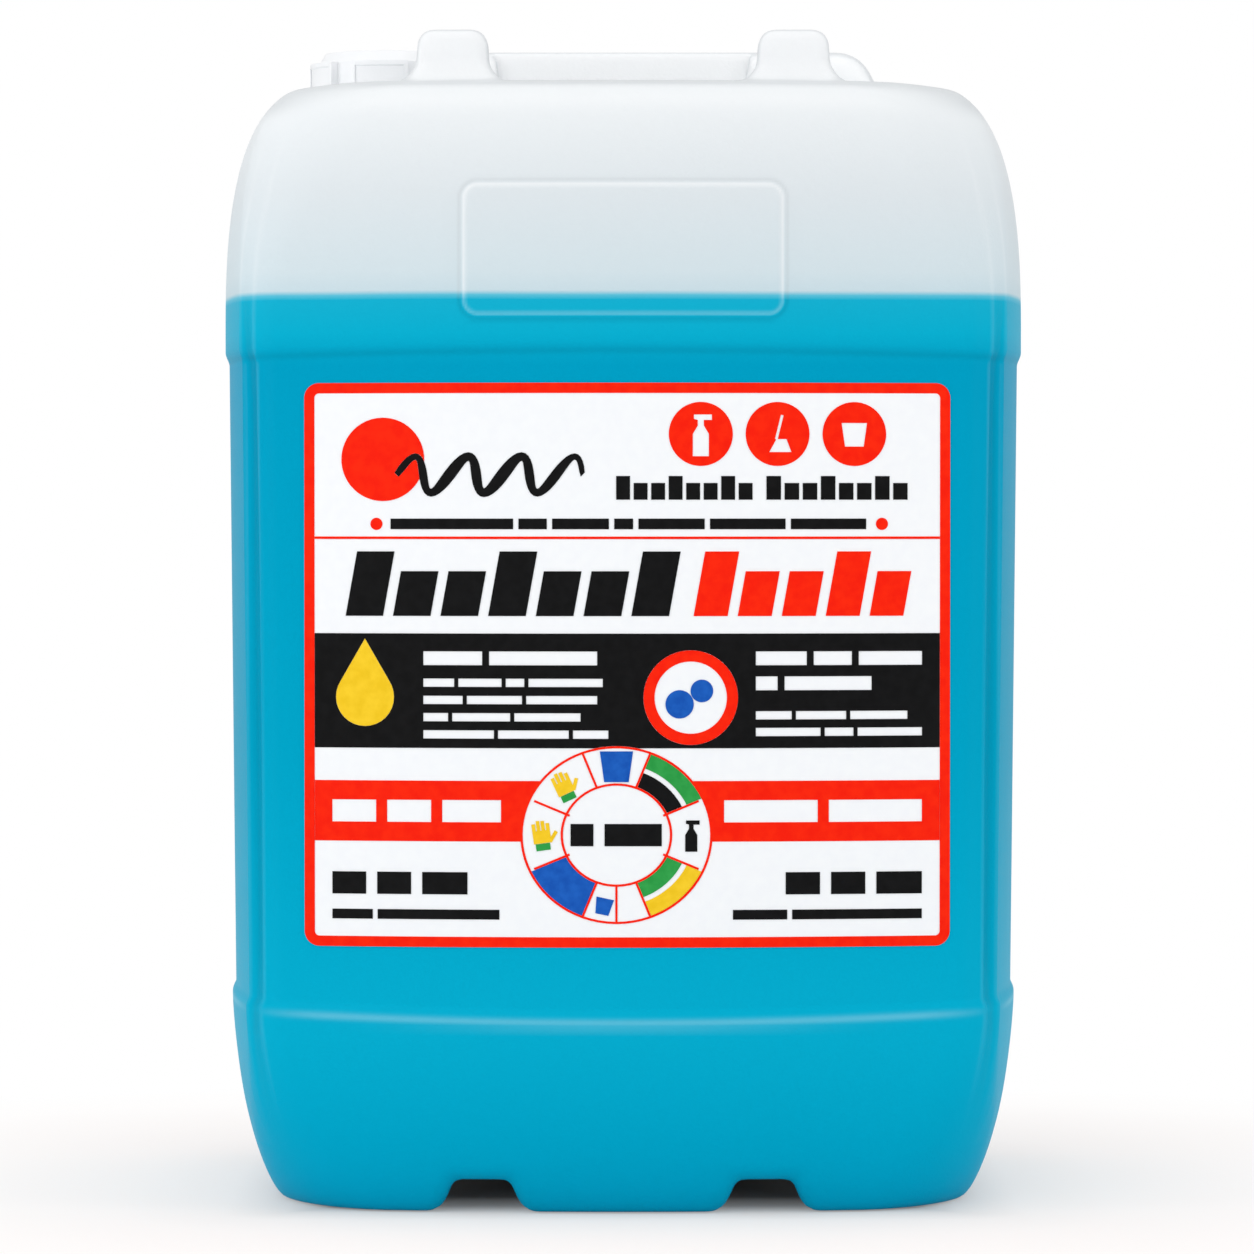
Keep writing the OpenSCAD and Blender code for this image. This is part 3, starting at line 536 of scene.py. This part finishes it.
def painted_light_and_shade(place, normal):
    """Painted light and shade for each point, lighter above zero and darker below it: painted highlights on
    the flutes' creases, the ledge, the pad's outline, the ridges' rounded edges and the handle's faces;
    painted shade in the flutes, at the upper step, just outside the pad and on the ridges' rims.
    """
    x, y, z = place
    flat = np.abs(normal[1])
    w = reach(z, 0)
    d = reach(z, 1)
    s = flute_place(np.abs(x), np.abs(y), w, d)
    run = ease(30, 90, z) * (1 - ease(360, 400, z))
    # Painted highlight along both creases of each flute.
    crease = np.exp(-((np.abs(s) - FLUTE_HALF) / 1.1) ** 2) * run
    # Painted shade in the hollow of each flute.
    hollow = np.exp(-(s / 3.6) ** 2) * flute_fade(z)
    front = 1 - ease(105, 140, np.abs(x)) * ease(60, 110, -y)
    # Painted highlight along the lower ledge, on the front only.
    ledge = np.exp(-((unbent(np.abs(x), z) - BAND_Z + 1) / 1.2) ** 2) * front
    # Painted shade at the upper step.
    step = np.exp(-((unbent(np.abs(x), z) - STEP_Z - 1.5) / 1.3) ** 2) * 0.3
    edge = pad_edge(x, z)
    # Painted highlight on the pad's outline, and painted shade just outside it.
    pad = np.exp(-((edge + 0.1) / 0.7) ** 2) * 0.8 - np.exp(-((edge - 1.5) / 0.8) ** 2) * 0.4
    pad = np.where(y < 0, pad, 0)
    # On the ridges and lugs: a painted highlight band where the rounding begins, and painted shade on the
    # rims that turn away from the front.
    lip = ease(396, 404, z) * ease(55, 70, np.abs(y))
    lip = lip * (np.exp(-((flat - 0.86) / 0.09) ** 2) * 0.35 - (1 - ease(0.3, 0.75, flat)) * 0.55)
    # On the handle: painted light on its front and back faces, and painted shade on its other faces.
    bar = ease(400, 404, z) * (1 - ease(24, 30, np.abs(y))) * (ease(0.6, 0.95, flat) * 2.3 - 0.5)
    return np.clip(np.maximum(crease * 0.22, ledge * 0.7) - step - hollow * 0.45 + pad + lip + bar, -1, 1.8)


can = build_can()


def graph(name):
    """A new material with its node tree, Principled shader and object coordinates."""
    mat = bpy.data.materials.new(name)
    mat.use_nodes = True
    tree = mat.node_tree
    shader = tree.nodes["Principled BSDF"]
    coords = tree.nodes.new("ShaderNodeTexCoord")
    return mat, tree, shader, coords


def srgb(r, g, b):
    """A colour given as it is seen on screen, 0 to 255, as linear values."""
    out = []
    for c in (r, g, b):
        c = c / 255
        out.append(c / 12.92 if c <= 0.04045 else ((c + 0.055) / 1.055) ** 2.4)
    return (*out, 1.0)


def ramp(tree, stops, source):
    """A colour ramp over a value, from (place, colour) stops."""
    node = tree.nodes.new("ShaderNodeValToRGB")
    while len(node.color_ramp.elements) < len(stops):
        node.color_ramp.elements.new(0.5)
    for element, (place, colour) in zip(node.color_ramp.elements, stops):
        element.position = place
        element.color = colour
    tree.links.new(source, node.inputs["Fac"])
    return node


def orange_peel(tree, coords, scale, strength, distance):
    """The fine skin that a mould leaves on plastic, as bump."""
    noise = tree.nodes.new("ShaderNodeTexNoise")
    noise.inputs["Scale"].default_value = scale
    noise.inputs["Detail"].default_value = 3
    tree.links.new(coords.outputs["Object"], noise.inputs["Vector"])
    bump = tree.nodes.new("ShaderNodeBump")
    bump.inputs["Strength"].default_value = strength
    bump.inputs["Distance"].default_value = distance
    tree.links.new(noise.outputs["Fac"], bump.inputs["Height"])
    return bump


def math_node(tree, operation, a, b=None, clamp=False):
    """A math node; each input is a value or a socket."""
    node = tree.nodes.new("ShaderNodeMath")
    node.operation = operation
    node.use_clamp = clamp
    for place, value in enumerate((a, b)):
        if isinstance(value, (int, float)):
            node.inputs[place].default_value = value
        elif value is not None:
            tree.links.new(value, node.inputs[place])
    return node.outputs[0]


def tint(tree, base, colour, amount):
    """Base colour mixed towards another one, a value or a socket, by a socket's value."""
    node = tree.nodes.new("ShaderNodeMix")
    node.data_type = "RGBA"
    tree.links.new(amount, node.inputs["Factor"])
    tree.links.new(base, node.inputs["A"])
    if isinstance(colour, tuple):
        node.inputs["B"].default_value = colour
    else:
        tree.links.new(colour, node.inputs["B"])
    return node.outputs["Result"]


CAN_TALL = 0.43
LEVEL_Z = 332.6


def wall_material():
    """The wall by height: blue where the liquid stands behind it, and pale plastic above the level, with
    painted light and shade mixed in.
    """
    mat, tree, shader, coords = graph("natural_wall")
    split = tree.nodes.new("ShaderNodeSeparateXYZ")
    tree.links.new(coords.outputs["Object"], split.inputs[0])
    drift = tree.nodes.new("ShaderNodeTexNoise")
    drift.inputs["Scale"].default_value = 9
    tree.links.new(coords.outputs["Object"], drift.inputs["Vector"])
    low = math_node(tree, "MULTIPLY_ADD", drift.outputs["Fac"], 0.001)
    low.node.inputs[2].default_value = -0.0005
    height = math_node(tree, "DIVIDE", math_node(tree, "ADD", split.outputs["Z"], low), CAN_TALL)
    level = LEVEL_Z * MM / CAN_TALL
    # Blue under the level and pale above it. The blue is lighter at the foot, painted light where the wall
    # curves under; it is lighter again in the band above the step, and the pale part grows lighter towards
    # the top.
    colours = ramp(tree, [
        (0.0, srgb(0, 166, 202)), (0.06, srgb(0, 168, 203)), (0.15, srgb(4, 172, 206)),
        (0.4, srgb(0, 161, 196)), (0.715, srgb(0, 156, 193)), (0.742, srgb(8, 172, 205)),
        (level - 0.0035, srgb(20, 173, 205)), (level, srgb(92, 190, 214)),
        (level + 0.003, srgb(198, 217, 225)), (level + 0.02, srgb(208, 222, 228)),
        (0.86, srgb(219, 226, 230)), (0.95, srgb(236, 239, 241)), (0.97, srgb(240, 242, 244))], height)
    # Painted light and shade: the stored per-point value mixes the colour towards a lit copy (painted
    # highlight) above zero and a dark copy (painted shade) below zero, blue below the level and pale above
    # it.
    light = tree.nodes.new("ShaderNodeAttribute")
    light.attribute_name = "painted_light_and_shade"
    up = math_node(tree, "MULTIPLY", light.outputs["Fac"], 0.55, clamp=True)
    down = math_node(tree, "MULTIPLY", light.outputs["Fac"], -0.6, clamp=True)
    lit = ramp(tree, [(level - 0.004, srgb(140, 214, 234)), (level + 0.004, srgb(252, 253, 254))], height)
    painted_shade_colour = ramp(tree, [(level - 0.004, srgb(0, 96, 122)), (level + 0.004, srgb(172, 178, 182))], height)
    wall_colour_with_painted_light_and_shade = tint(tree, colours.outputs["Color"], lit.outputs["Color"], up)
    wall_colour_with_painted_light_and_shade = tint(tree, wall_colour_with_painted_light_and_shade, painted_shade_colour.outputs["Color"], down)
    from_middle = math_node(tree, "MULTIPLY", math_node(tree, "ABSOLUTE", split.outputs["Y"]), 1800)
    joint = math_node(tree, "SUBTRACT", 1, from_middle, clamp=True)
    wall_colour_with_painted_light_and_shade = tint(tree, wall_colour_with_painted_light_and_shade, srgb(190, 224, 234), math_node(tree, "MULTIPLY", joint, 0.35))
    tree.links.new(wall_colour_with_painted_light_and_shade, shader.inputs["Base Color"])
    shader.inputs["Roughness"].default_value = 0.32
    shader.inputs["Specular IOR Level"].default_value = 0.01
    bump = orange_peel(tree, coords, 900, 0.3, 0.0004)
    ridge = tree.nodes.new("ShaderNodeBump")
    ridge.inputs["Distance"].default_value = 0.0004
    tree.links.new(joint, ridge.inputs["Height"])
    tree.links.new(bump.outputs["Normal"], ridge.inputs["Normal"])
    tree.links.new(ridge.outputs["Normal"], shader.inputs["Normal"])
    return mat


can.data.materials.append(wall_material())
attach(can, "can_body")
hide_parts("can")


# Neck
# Moulded with the can, in the same polyethylene: a plain tube with a bead that holds the tamper band
# down, and a coarse thread with tapered ends for the cap.
RIM_TOP_Z = 425.2
NECK_R = 21.8
NECK_INSIDE = 19.5
THREAD_LOW_Z = 410.4
PITCH = 6.0


def spun(name, profile, steps=96):
    """Closed ring spun round the neck's axis from a closed outline of (radius, height) points."""
    count = len(profile)
    obj = new_mesh(name, [(NECK_X + r, 0, z) for r, z in profile], [])
    bm = bmesh.new()
    bm.from_mesh(obj.data)
    bm.verts.ensure_lookup_table()
    edges = [bm.edges.new((bm.verts[i], bm.verts[(i + 1) % count])) for i in range(count)]
    bmesh.ops.spin(bm, geom=list(bm.verts) + edges, cent=(NECK_X * MM, 0, 0), axis=(0, 0, 1), angle=math.tau,
                   steps=steps, use_merge=True)
    bmesh.ops.recalc_face_normals(bm, faces=bm.faces)
    bm.to_mesh(obj.data)
    bm.free()
    pick(obj)
    bpy.ops.object.shade_smooth_by_angle(angle=math.radians(32))
    return obj


def helix(name, root, crest, low, turns, steps=96, fade=14):
    """Trapezoid thread swept round the neck's axis, with ends that taper into the wall."""
    count = round(steps * turns)
    rings = []
    for i in range(count + 1):
        grow = min(1.0, min(i, count - i) / fade)
        top = mix(root, crest, 0.05 + 0.95 * grow * (2 - grow))
        half = mix(1.5, 0.8, grow)
        mid = low + PITCH * i / steps
        turn = math.tau * i / steps
        soft = mix(root, top, 0.78)
        section = [(root, -1.5), (soft, -half - 0.18), (top, -half + 0.35),
                   (top, half - 0.35), (soft, half + 0.18), (root, 1.5)]
        rings += [(NECK_X + r * math.cos(turn), r * math.sin(turn), mid + up) for r, up in section]
    faces = [(i * 6 + j, i * 6 + (j + 1) % 6, i * 6 + 6 + (j + 1) % 6, i * 6 + 6 + j)
             for i in range(count) for j in range(6)]
    faces += [tuple(range(5, -1, -1)), tuple(count * 6 + j for j in range(6))]
    obj = new_mesh(name, rings, faces)
    pick(obj)
    bpy.ops.object.mode_set(mode="EDIT")
    bpy.ops.mesh.select_all(action="SELECT")
    bpy.ops.mesh.normals_make_consistent(inside=False)
    bpy.ops.object.mode_set(mode="OBJECT")
    bpy.ops.object.shade_smooth_by_angle(angle=math.radians(40))
    return obj


neck = spun("neck", [
    (NECK_INSIDE, 384), (NECK_INSIDE, 424.4), (NECK_INSIDE + 0.3, 425), (NECK_INSIDE + 0.9, RIM_TOP_Z),
    (NECK_R - 0.9, RIM_TOP_Z), (NECK_R - 0.3, 425), (NECK_R, 424.4), (NECK_R, 407.2), (NECK_R + 0.9, 406.6),
    (NECK_R + 2.2, 405.6), (NECK_R + 2.5, 405.2), (NECK_R + 2.4, 404.7), (NECK_R, 404.4), (NECK_R, 384)])
neck_thread = helix("neck_thread", NECK_R - 0.4, NECK_R + 1.95, THREAD_LOW_Z, 1.75)


def mottled(name, low, high, scale, roughness, shine=0.5, detail=2, ends=(0.3, 0.7), peel=None):
    """A material whose colour drifts between two close shades, with a moulded skin where peel is given."""
    mat, tree, shader, coords = graph(name)
    noise = tree.nodes.new("ShaderNodeTexNoise")
    noise.inputs["Scale"].default_value = scale
    noise.inputs["Detail"].default_value = detail
    tree.links.new(coords.outputs["Object"], noise.inputs["Vector"])
    colours = ramp(tree, [(ends[0], srgb(*low)), (ends[1], srgb(*high))], noise.outputs["Fac"])
    tree.links.new(colours.outputs["Color"], shader.inputs["Base Color"])
    shader.inputs["Roughness"].default_value = roughness
    shader.inputs["Specular IOR Level"].default_value = shine
    if peel:
        bump = orange_peel(tree, coords, *peel)
        tree.links.new(bump.outputs["Normal"], shader.inputs["Normal"])
    return mat


neck_finish = mottled("natural_neck", (222, 227, 230), (234, 237, 239), 60, 0.33, 0.35,
                      peel=(1400, 0.15, 0.0003))
for piece in (neck, neck_thread):
    piece.data.materials.append(neck_finish)
    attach(piece, "can_body")


# Liquid
# Clear blue detergent, poured in through the neck. It fills the can to a little over three quarters of
# its height and takes the shape of the wall around it.
def dress(node, material):
    """Gives a carried-over piece its finish."""
    data = nodes[node].data
    data.materials.clear()
    data.materials.append(material)


dress("liquid", mottled("detergent", (0, 140, 176), (20, 172, 205), 6, 0.06))


# Screw cap
# Injection-moulded white cap: a round skirt with six grip lobes, a shallow panel on each lobe, a raised
# crown, and inside it the thread that runs on the neck.
CAP_LOW_Z = 407.0
CAP_TOP_Z = 427.7
CAP_CROWN_T = 1.9
CAP_CORE_R = 26.7
CAP_LOBE_R = 30.0
CAP_CROWN_R = 24.3
CAP_BORE_R = 24.4
LOBE_TOP_Z = 423.6
LOBES = 6
LOBE_TURN = -96.5
LOBE_ANGLE = 42.0
PANEL_EDGE = 1.6
PANEL_SLOPE = 0.5
PANEL_SINK = 0.5
CAP_FACETS = 120


def side_faces(obj, test):
    """Selects, in edit mode, the faces whose middle passes a test of angle, radius and height in mm."""
    bpy.ops.mesh.select_all(action="DESELECT")
    bm = bmesh.from_edit_mesh(obj.data)
    for face in bm.faces:
        spot = face.calc_center_median() / MM
        radius = math.hypot(spot.x - NECK_X, spot.y)
        angle = (math.degrees(math.atan2(spot.y, spot.x - NECK_X)) - LOBE_TURN) % (360 / LOBES)
        if test(min(angle, 360 / LOBES - angle), radius, spot.z, face.normal):
            face.select_set(True)
    bmesh.update_edit_mesh(obj.data)


def build_cap():
    """A cylinder with its crown drawn in, lobes drawn out, panels sunk in them and a bore from below."""
    bpy.ops.object.select_all(action="DESELECT")
    tall = (CAP_TOP_Z - CAP_LOW_Z) * MM
    bpy.ops.mesh.primitive_cylinder_add(vertices=CAP_FACETS, radius=CAP_CORE_R * MM, depth=tall)
    cap = bpy.context.object
    cap.name = "cap"
    bpy.ops.object.mode_set(mode="EDIT")
    bpy.ops.mesh.select_mode(type="FACE")
    bpy.ops.mesh.select_all(action="SELECT")
    first = math.radians(LOBE_TURN % (360 / CAP_FACETS))
    bpy.ops.transform.rotate(value=first, orient_axis="Z", center_override=(0, 0, 0))
    bpy.ops.transform.translate(value=(NECK_X * MM, 0, (CAP_TOP_Z + CAP_LOW_Z) / 2 * MM))
    bpy.ops.mesh.bisect(plane_co=(0, 0, LOBE_TOP_Z * MM), plane_no=(0, 0, 1))
    side_faces(cap, lambda angle, radius, z, normal: normal.z > 0.9)
    taper = CAP_CROWN_R / CAP_CORE_R
    bpy.ops.transform.resize(value=(taper, taper, 1), center_override=(NECK_X * MM, 0, 0))
    side_faces(cap, lambda angle, radius, z, normal: (
        abs(normal.z) < 0.2 and z < LOBE_TOP_Z and angle < LOBE_ANGLE / 2))
    bpy.ops.mesh.extrude_region_move(TRANSFORM_OT_translate={"value": (0, 0, 0)})
    grow = CAP_LOBE_R / CAP_CORE_R
    bpy.ops.transform.resize(value=(grow, grow, 1), center_override=(NECK_X * MM, 0, 0))
    side_faces(cap, lambda angle, radius, z, normal: radius > CAP_LOBE_R - 0.4 and abs(normal.z) < 0.5)
    bpy.ops.mesh.inset(thickness=PANEL_EDGE * MM, depth=0)
    bpy.ops.mesh.inset(thickness=PANEL_SLOPE * MM, depth=0)
    sink = 1 - PANEL_SINK / CAP_LOBE_R
    bpy.ops.transform.resize(value=(sink, sink, 1), center_override=(NECK_X * MM, 0, 0))
    side_faces(cap, lambda angle, radius, z, normal: normal.z < -0.9 and radius < CAP_CORE_R * 0.5)
    bpy.ops.mesh.inset(thickness=(CAP_CORE_R - CAP_BORE_R) * MM, depth=0)
    bpy.ops.mesh.extrude_region_move(
        TRANSFORM_OT_translate={"value": (0, 0, (CAP_TOP_Z - CAP_CROWN_T - CAP_LOW_Z) * MM)})
    bpy.ops.mesh.select_all(action="SELECT")
    bpy.ops.mesh.normals_make_consistent(inside=False)
    bpy.ops.object.mode_set(mode="OBJECT")
    bevel = cap.modifiers.new("soft_edges", "BEVEL")
    bevel.width = 0.55 * MM
    bevel.segments = 3
    bevel.limit_method = "ANGLE"
    bevel.angle_limit = math.radians(35)
    bpy.ops.object.modifier_apply(modifier=bevel.name)
    bpy.ops.object.shade_smooth_by_angle(angle=math.radians(30))
    return cap


cap = build_cap()
cap_thread = helix("cap_thread", CAP_BORE_R + 0.4, NECK_R + 0.65, THREAD_LOW_Z + PITCH / 2, 1.5)
white_plastic = mottled("cap_plastic", (240, 242, 244), (246, 247, 249), 40, 0.36, 0.35,
                        peel=(1200, 0.15, 0.0003))
for piece in (cap, cap_thread):
    piece.data.materials.append(white_plastic)
    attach(piece, "cap")
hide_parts("screw_cap")


# Tamper band
# White polyethylene ring, moulded as one with the cap. It snaps off the cap at first opening, and its
# lip hooks under the neck's bead.
BAND_LOW_Z = 399.6
band = spun("tamper_ring", [(r, BAND_LOW_Z + up) for r, up in (
    (22.9, 0.2), (23.1, 0), (28.6, 0), (29.15, 0.3), (29.45, 0.9), (29.45, 5.5), (29.0, 5.95), (25.5, 5.95),
    (25.1, 5.6), (25.0, 4.5), (22.9, 3.4))])
band.data.materials.append(white_plastic)
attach(band, "can_body")
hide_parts("tamper_band")


# Liner
# Foamed polyethylene disc, stamped from sheet and pressed into the cap's crown. It seals on the neck's
# rim and rises with the cap.
def foam_material():
    mat, tree, shader, coords = graph("liner_foam")
    cells = tree.nodes.new("ShaderNodeTexVoronoi")
    cells.inputs["Scale"].default_value = 1800
    tree.links.new(coords.outputs["Object"], cells.inputs["Vector"])
    colours = ramp(tree, [(0.0, srgb(198, 202, 206)), (0.6, srgb(212, 215, 218))], cells.outputs["Distance"])
    tree.links.new(colours.outputs["Color"], shader.inputs["Base Color"])
    shader.inputs["Roughness"].default_value = 0.8
    bump = tree.nodes.new("ShaderNodeBump")
    bump.inputs["Distance"].default_value = 0.0002
    tree.links.new(cells.outputs["Distance"], bump.inputs["Height"])
    tree.links.new(bump.outputs["Normal"], shader.inputs["Normal"])
    return mat


dress("cap_liner", foam_material())


# Label
# White self-adhesive film on the recessed front, printed in flat colours. The print is a set of thin
# layers on the film, one for each colour of ink.
for node, finish, low, high in (
        ("label", "label_film", (244, 246, 249), (246, 248, 250)),
        ("print_red", "ink_red", (247, 27, 2), (252, 38, 4)),
        ("print_black", "ink_black", (12, 12, 13), (18, 18, 19)),
        ("print_blue", "ink_blue", (18, 82, 176), (28, 96, 190)),
        ("print_green", "ink_green", (40, 150, 66), (52, 162, 76)),
        ("print_yellow", "ink_yellow", (240, 196, 30), (248, 206, 44))):
    dress(node, mottled(finish, low, high, 260, 0.42, 0.08, detail=4, ends=(0.35, 0.65)))


# Studio
# A white floor that holds the soft contact shadow, a white surround, and broad soft lamps. What the camera
# sees of the floor is part real light and part painted shadow: a glowing grey that fades with the distance
# from the foot.
FOOTPRINT = (0.122, 0.102)


def floor_material():
    """Painted shadow by the distance from the can's footprint: darkest under the can, white 0.27 m away,
    mixed with the floor's real light.
    """
    mat = bpy.data.materials.new("studio_floor")
    mat.use_nodes = True
    tree = mat.node_tree
    tree.nodes.clear()
    out = tree.nodes.new("ShaderNodeOutputMaterial")
    bounce = tree.nodes.new("ShaderNodeBsdfDiffuse")
    bounce.inputs["Color"].default_value = (0.9, 0.9, 0.9, 1)
    # The floor's real light, seen brighter than white and tinted warm so that the blue light the can throws
    # on the floor is cancelled.
    lit = tree.nodes.new("ShaderNodeBsdfDiffuse")
    lit.inputs["Color"].default_value = (1.3, 1.16, 1.11, 1)
    coords = tree.nodes.new("ShaderNodeTexCoord")
    split = tree.nodes.new("ShaderNodeSeparateXYZ")
    tree.links.new(coords.outputs["Object"], split.inputs[0])
    past = [math_node(tree, "SUBTRACT", math_node(tree, "ABSOLUTE", split.outputs[axis]), half)
            for axis, half in zip("XY", FOOTPRINT)]
    beyond = [math_node(tree, "MAXIMUM", p, 0) for p in past]
    square = [math_node(tree, "MULTIPLY", b, b) for b in beyond]
    outside = math_node(tree, "SQRT", math_node(tree, "ADD", *square))
    inside = math_node(tree, "MINIMUM", math_node(tree, "MAXIMUM", *past), 0)
    distance = math_node(tree, "ADD", math_node(tree, "ADD", outside, inside), 0.1)
    away = math_node(tree, "MULTIPLY", distance, 2.5)
    # Painted shadow: greys by distance that the floor shows as glow, darkest under the can and inside its
    # channels, white far from the foot.
    painted_shadow_greys = [(0.0, 0.0), (0.125, 0.03), (0.2, 0.22), (0.25, 0.62), (0.31, 0.8), (0.4, 0.86), (0.55, 0.92),
             (0.75, 0.98), (0.92, 1.0)]
    shade = ramp(tree, [(place, (grey, grey, grey, 1)) for place, grey in painted_shadow_greys], away)
    painted_shadow_glow = tree.nodes.new("ShaderNodeEmission")
    tree.links.new(shade.outputs["Color"], painted_shadow_glow.inputs["Color"])
    share = ramp(tree, [(0.0, (0.55, 0.55, 0.55, 1)), (0.4, (0.6, 0.6, 0.6, 1)), (0.9, (1, 1, 1, 1))], away)
    blend = tree.nodes.new("ShaderNodeMixShader")
    tree.links.new(share.outputs["Color"], blend.inputs["Fac"])
    tree.links.new(lit.outputs[0], blend.inputs[1])
    tree.links.new(painted_shadow_glow.outputs[0], blend.inputs[2])
    path = tree.nodes.new("ShaderNodeLightPath")
    seen = tree.nodes.new("ShaderNodeMixShader")
    tree.links.new(path.outputs["Is Camera Ray"], seen.inputs["Fac"])
    tree.links.new(bounce.outputs[0], seen.inputs[1])
    tree.links.new(blend.outputs[0], seen.inputs[2])
    tree.links.new(seen.outputs[0], out.inputs["Surface"])
    return mat


bpy.ops.object.select_all(action="DESELECT")
bpy.ops.mesh.primitive_plane_add(size=12, location=(0, 0, -0.0002))
floor = bpy.context.object
floor.name = "studio_floor"
floor.data.materials.append(floor_material())

world = bpy.data.worlds.new("studio")
bpy.context.scene.world = world
world.use_nodes = True
tree = world.node_tree
tree.nodes.clear()
out = tree.nodes.new("ShaderNodeOutputWorld")
fill = tree.nodes.new("ShaderNodeBackground")
fill.inputs["Color"].default_value = (1, 1, 1, 1)
fill.inputs["Strength"].default_value = 0.66
shown = tree.nodes.new("ShaderNodeBackground")
shown.inputs["Color"].default_value = (1, 1, 1, 1)
path = tree.nodes.new("ShaderNodeLightPath")
pick_shown = tree.nodes.new("ShaderNodeMixShader")
tree.links.new(path.outputs["Is Camera Ray"], pick_shown.inputs["Fac"])
tree.links.new(fill.outputs[0], pick_shown.inputs[1])
tree.links.new(shown.outputs[0], pick_shown.inputs[2])
tree.links.new(pick_shown.outputs[0], out.inputs["Surface"])


def lamp(name, place, aim, size, power):
    """A rectangular soft lamp that faces a point."""
    data = bpy.data.lights.new(name, "AREA")
    data.shape = "RECTANGLE"
    data.size, data.size_y = size
    data.energy = power
    obj = bpy.data.objects.new(name, data)
    bpy.context.collection.objects.link(obj)
    obj.location = place
    away = np.array(aim) - np.array(place)
    flat = math.hypot(away[0], away[1])
    tilt = math.pi / 2 + math.atan2(away[2], flat)
    obj.rotation_euler = (tilt, 0, math.atan2(away[1], away[0]) - math.pi / 2)


lamp("key", (-0.9, -2.2, 1.5), (0, 0, 0.22), (1.6, 1.6), 11)
lamp("side_left", (-1.3, -0.7, 0.5), (0, 0, 0.25), (0.5, 1.4), 5)
lamp("side_right", (1.3, -0.7, 0.5), (0, 0, 0.25), (0.5, 1.4), 5)
lamp("top", (0, 0.2, 1.9), (0, 0, 0.2), (1.8, 1.4), 7)

data = bpy.data.cameras.new("camera")
data.sensor_width = 36
data.lens = 176.15
camera = bpy.data.objects.new("camera", data)
bpy.context.collection.objects.link(camera)
camera.location = (0.0014, -2.33, 0.259)
camera.rotation_euler = (math.radians(90 - 1.186), 0, 0)
bpy.context.scene.camera = camera
bpy.context.scene.view_settings.view_transform = "Standard"
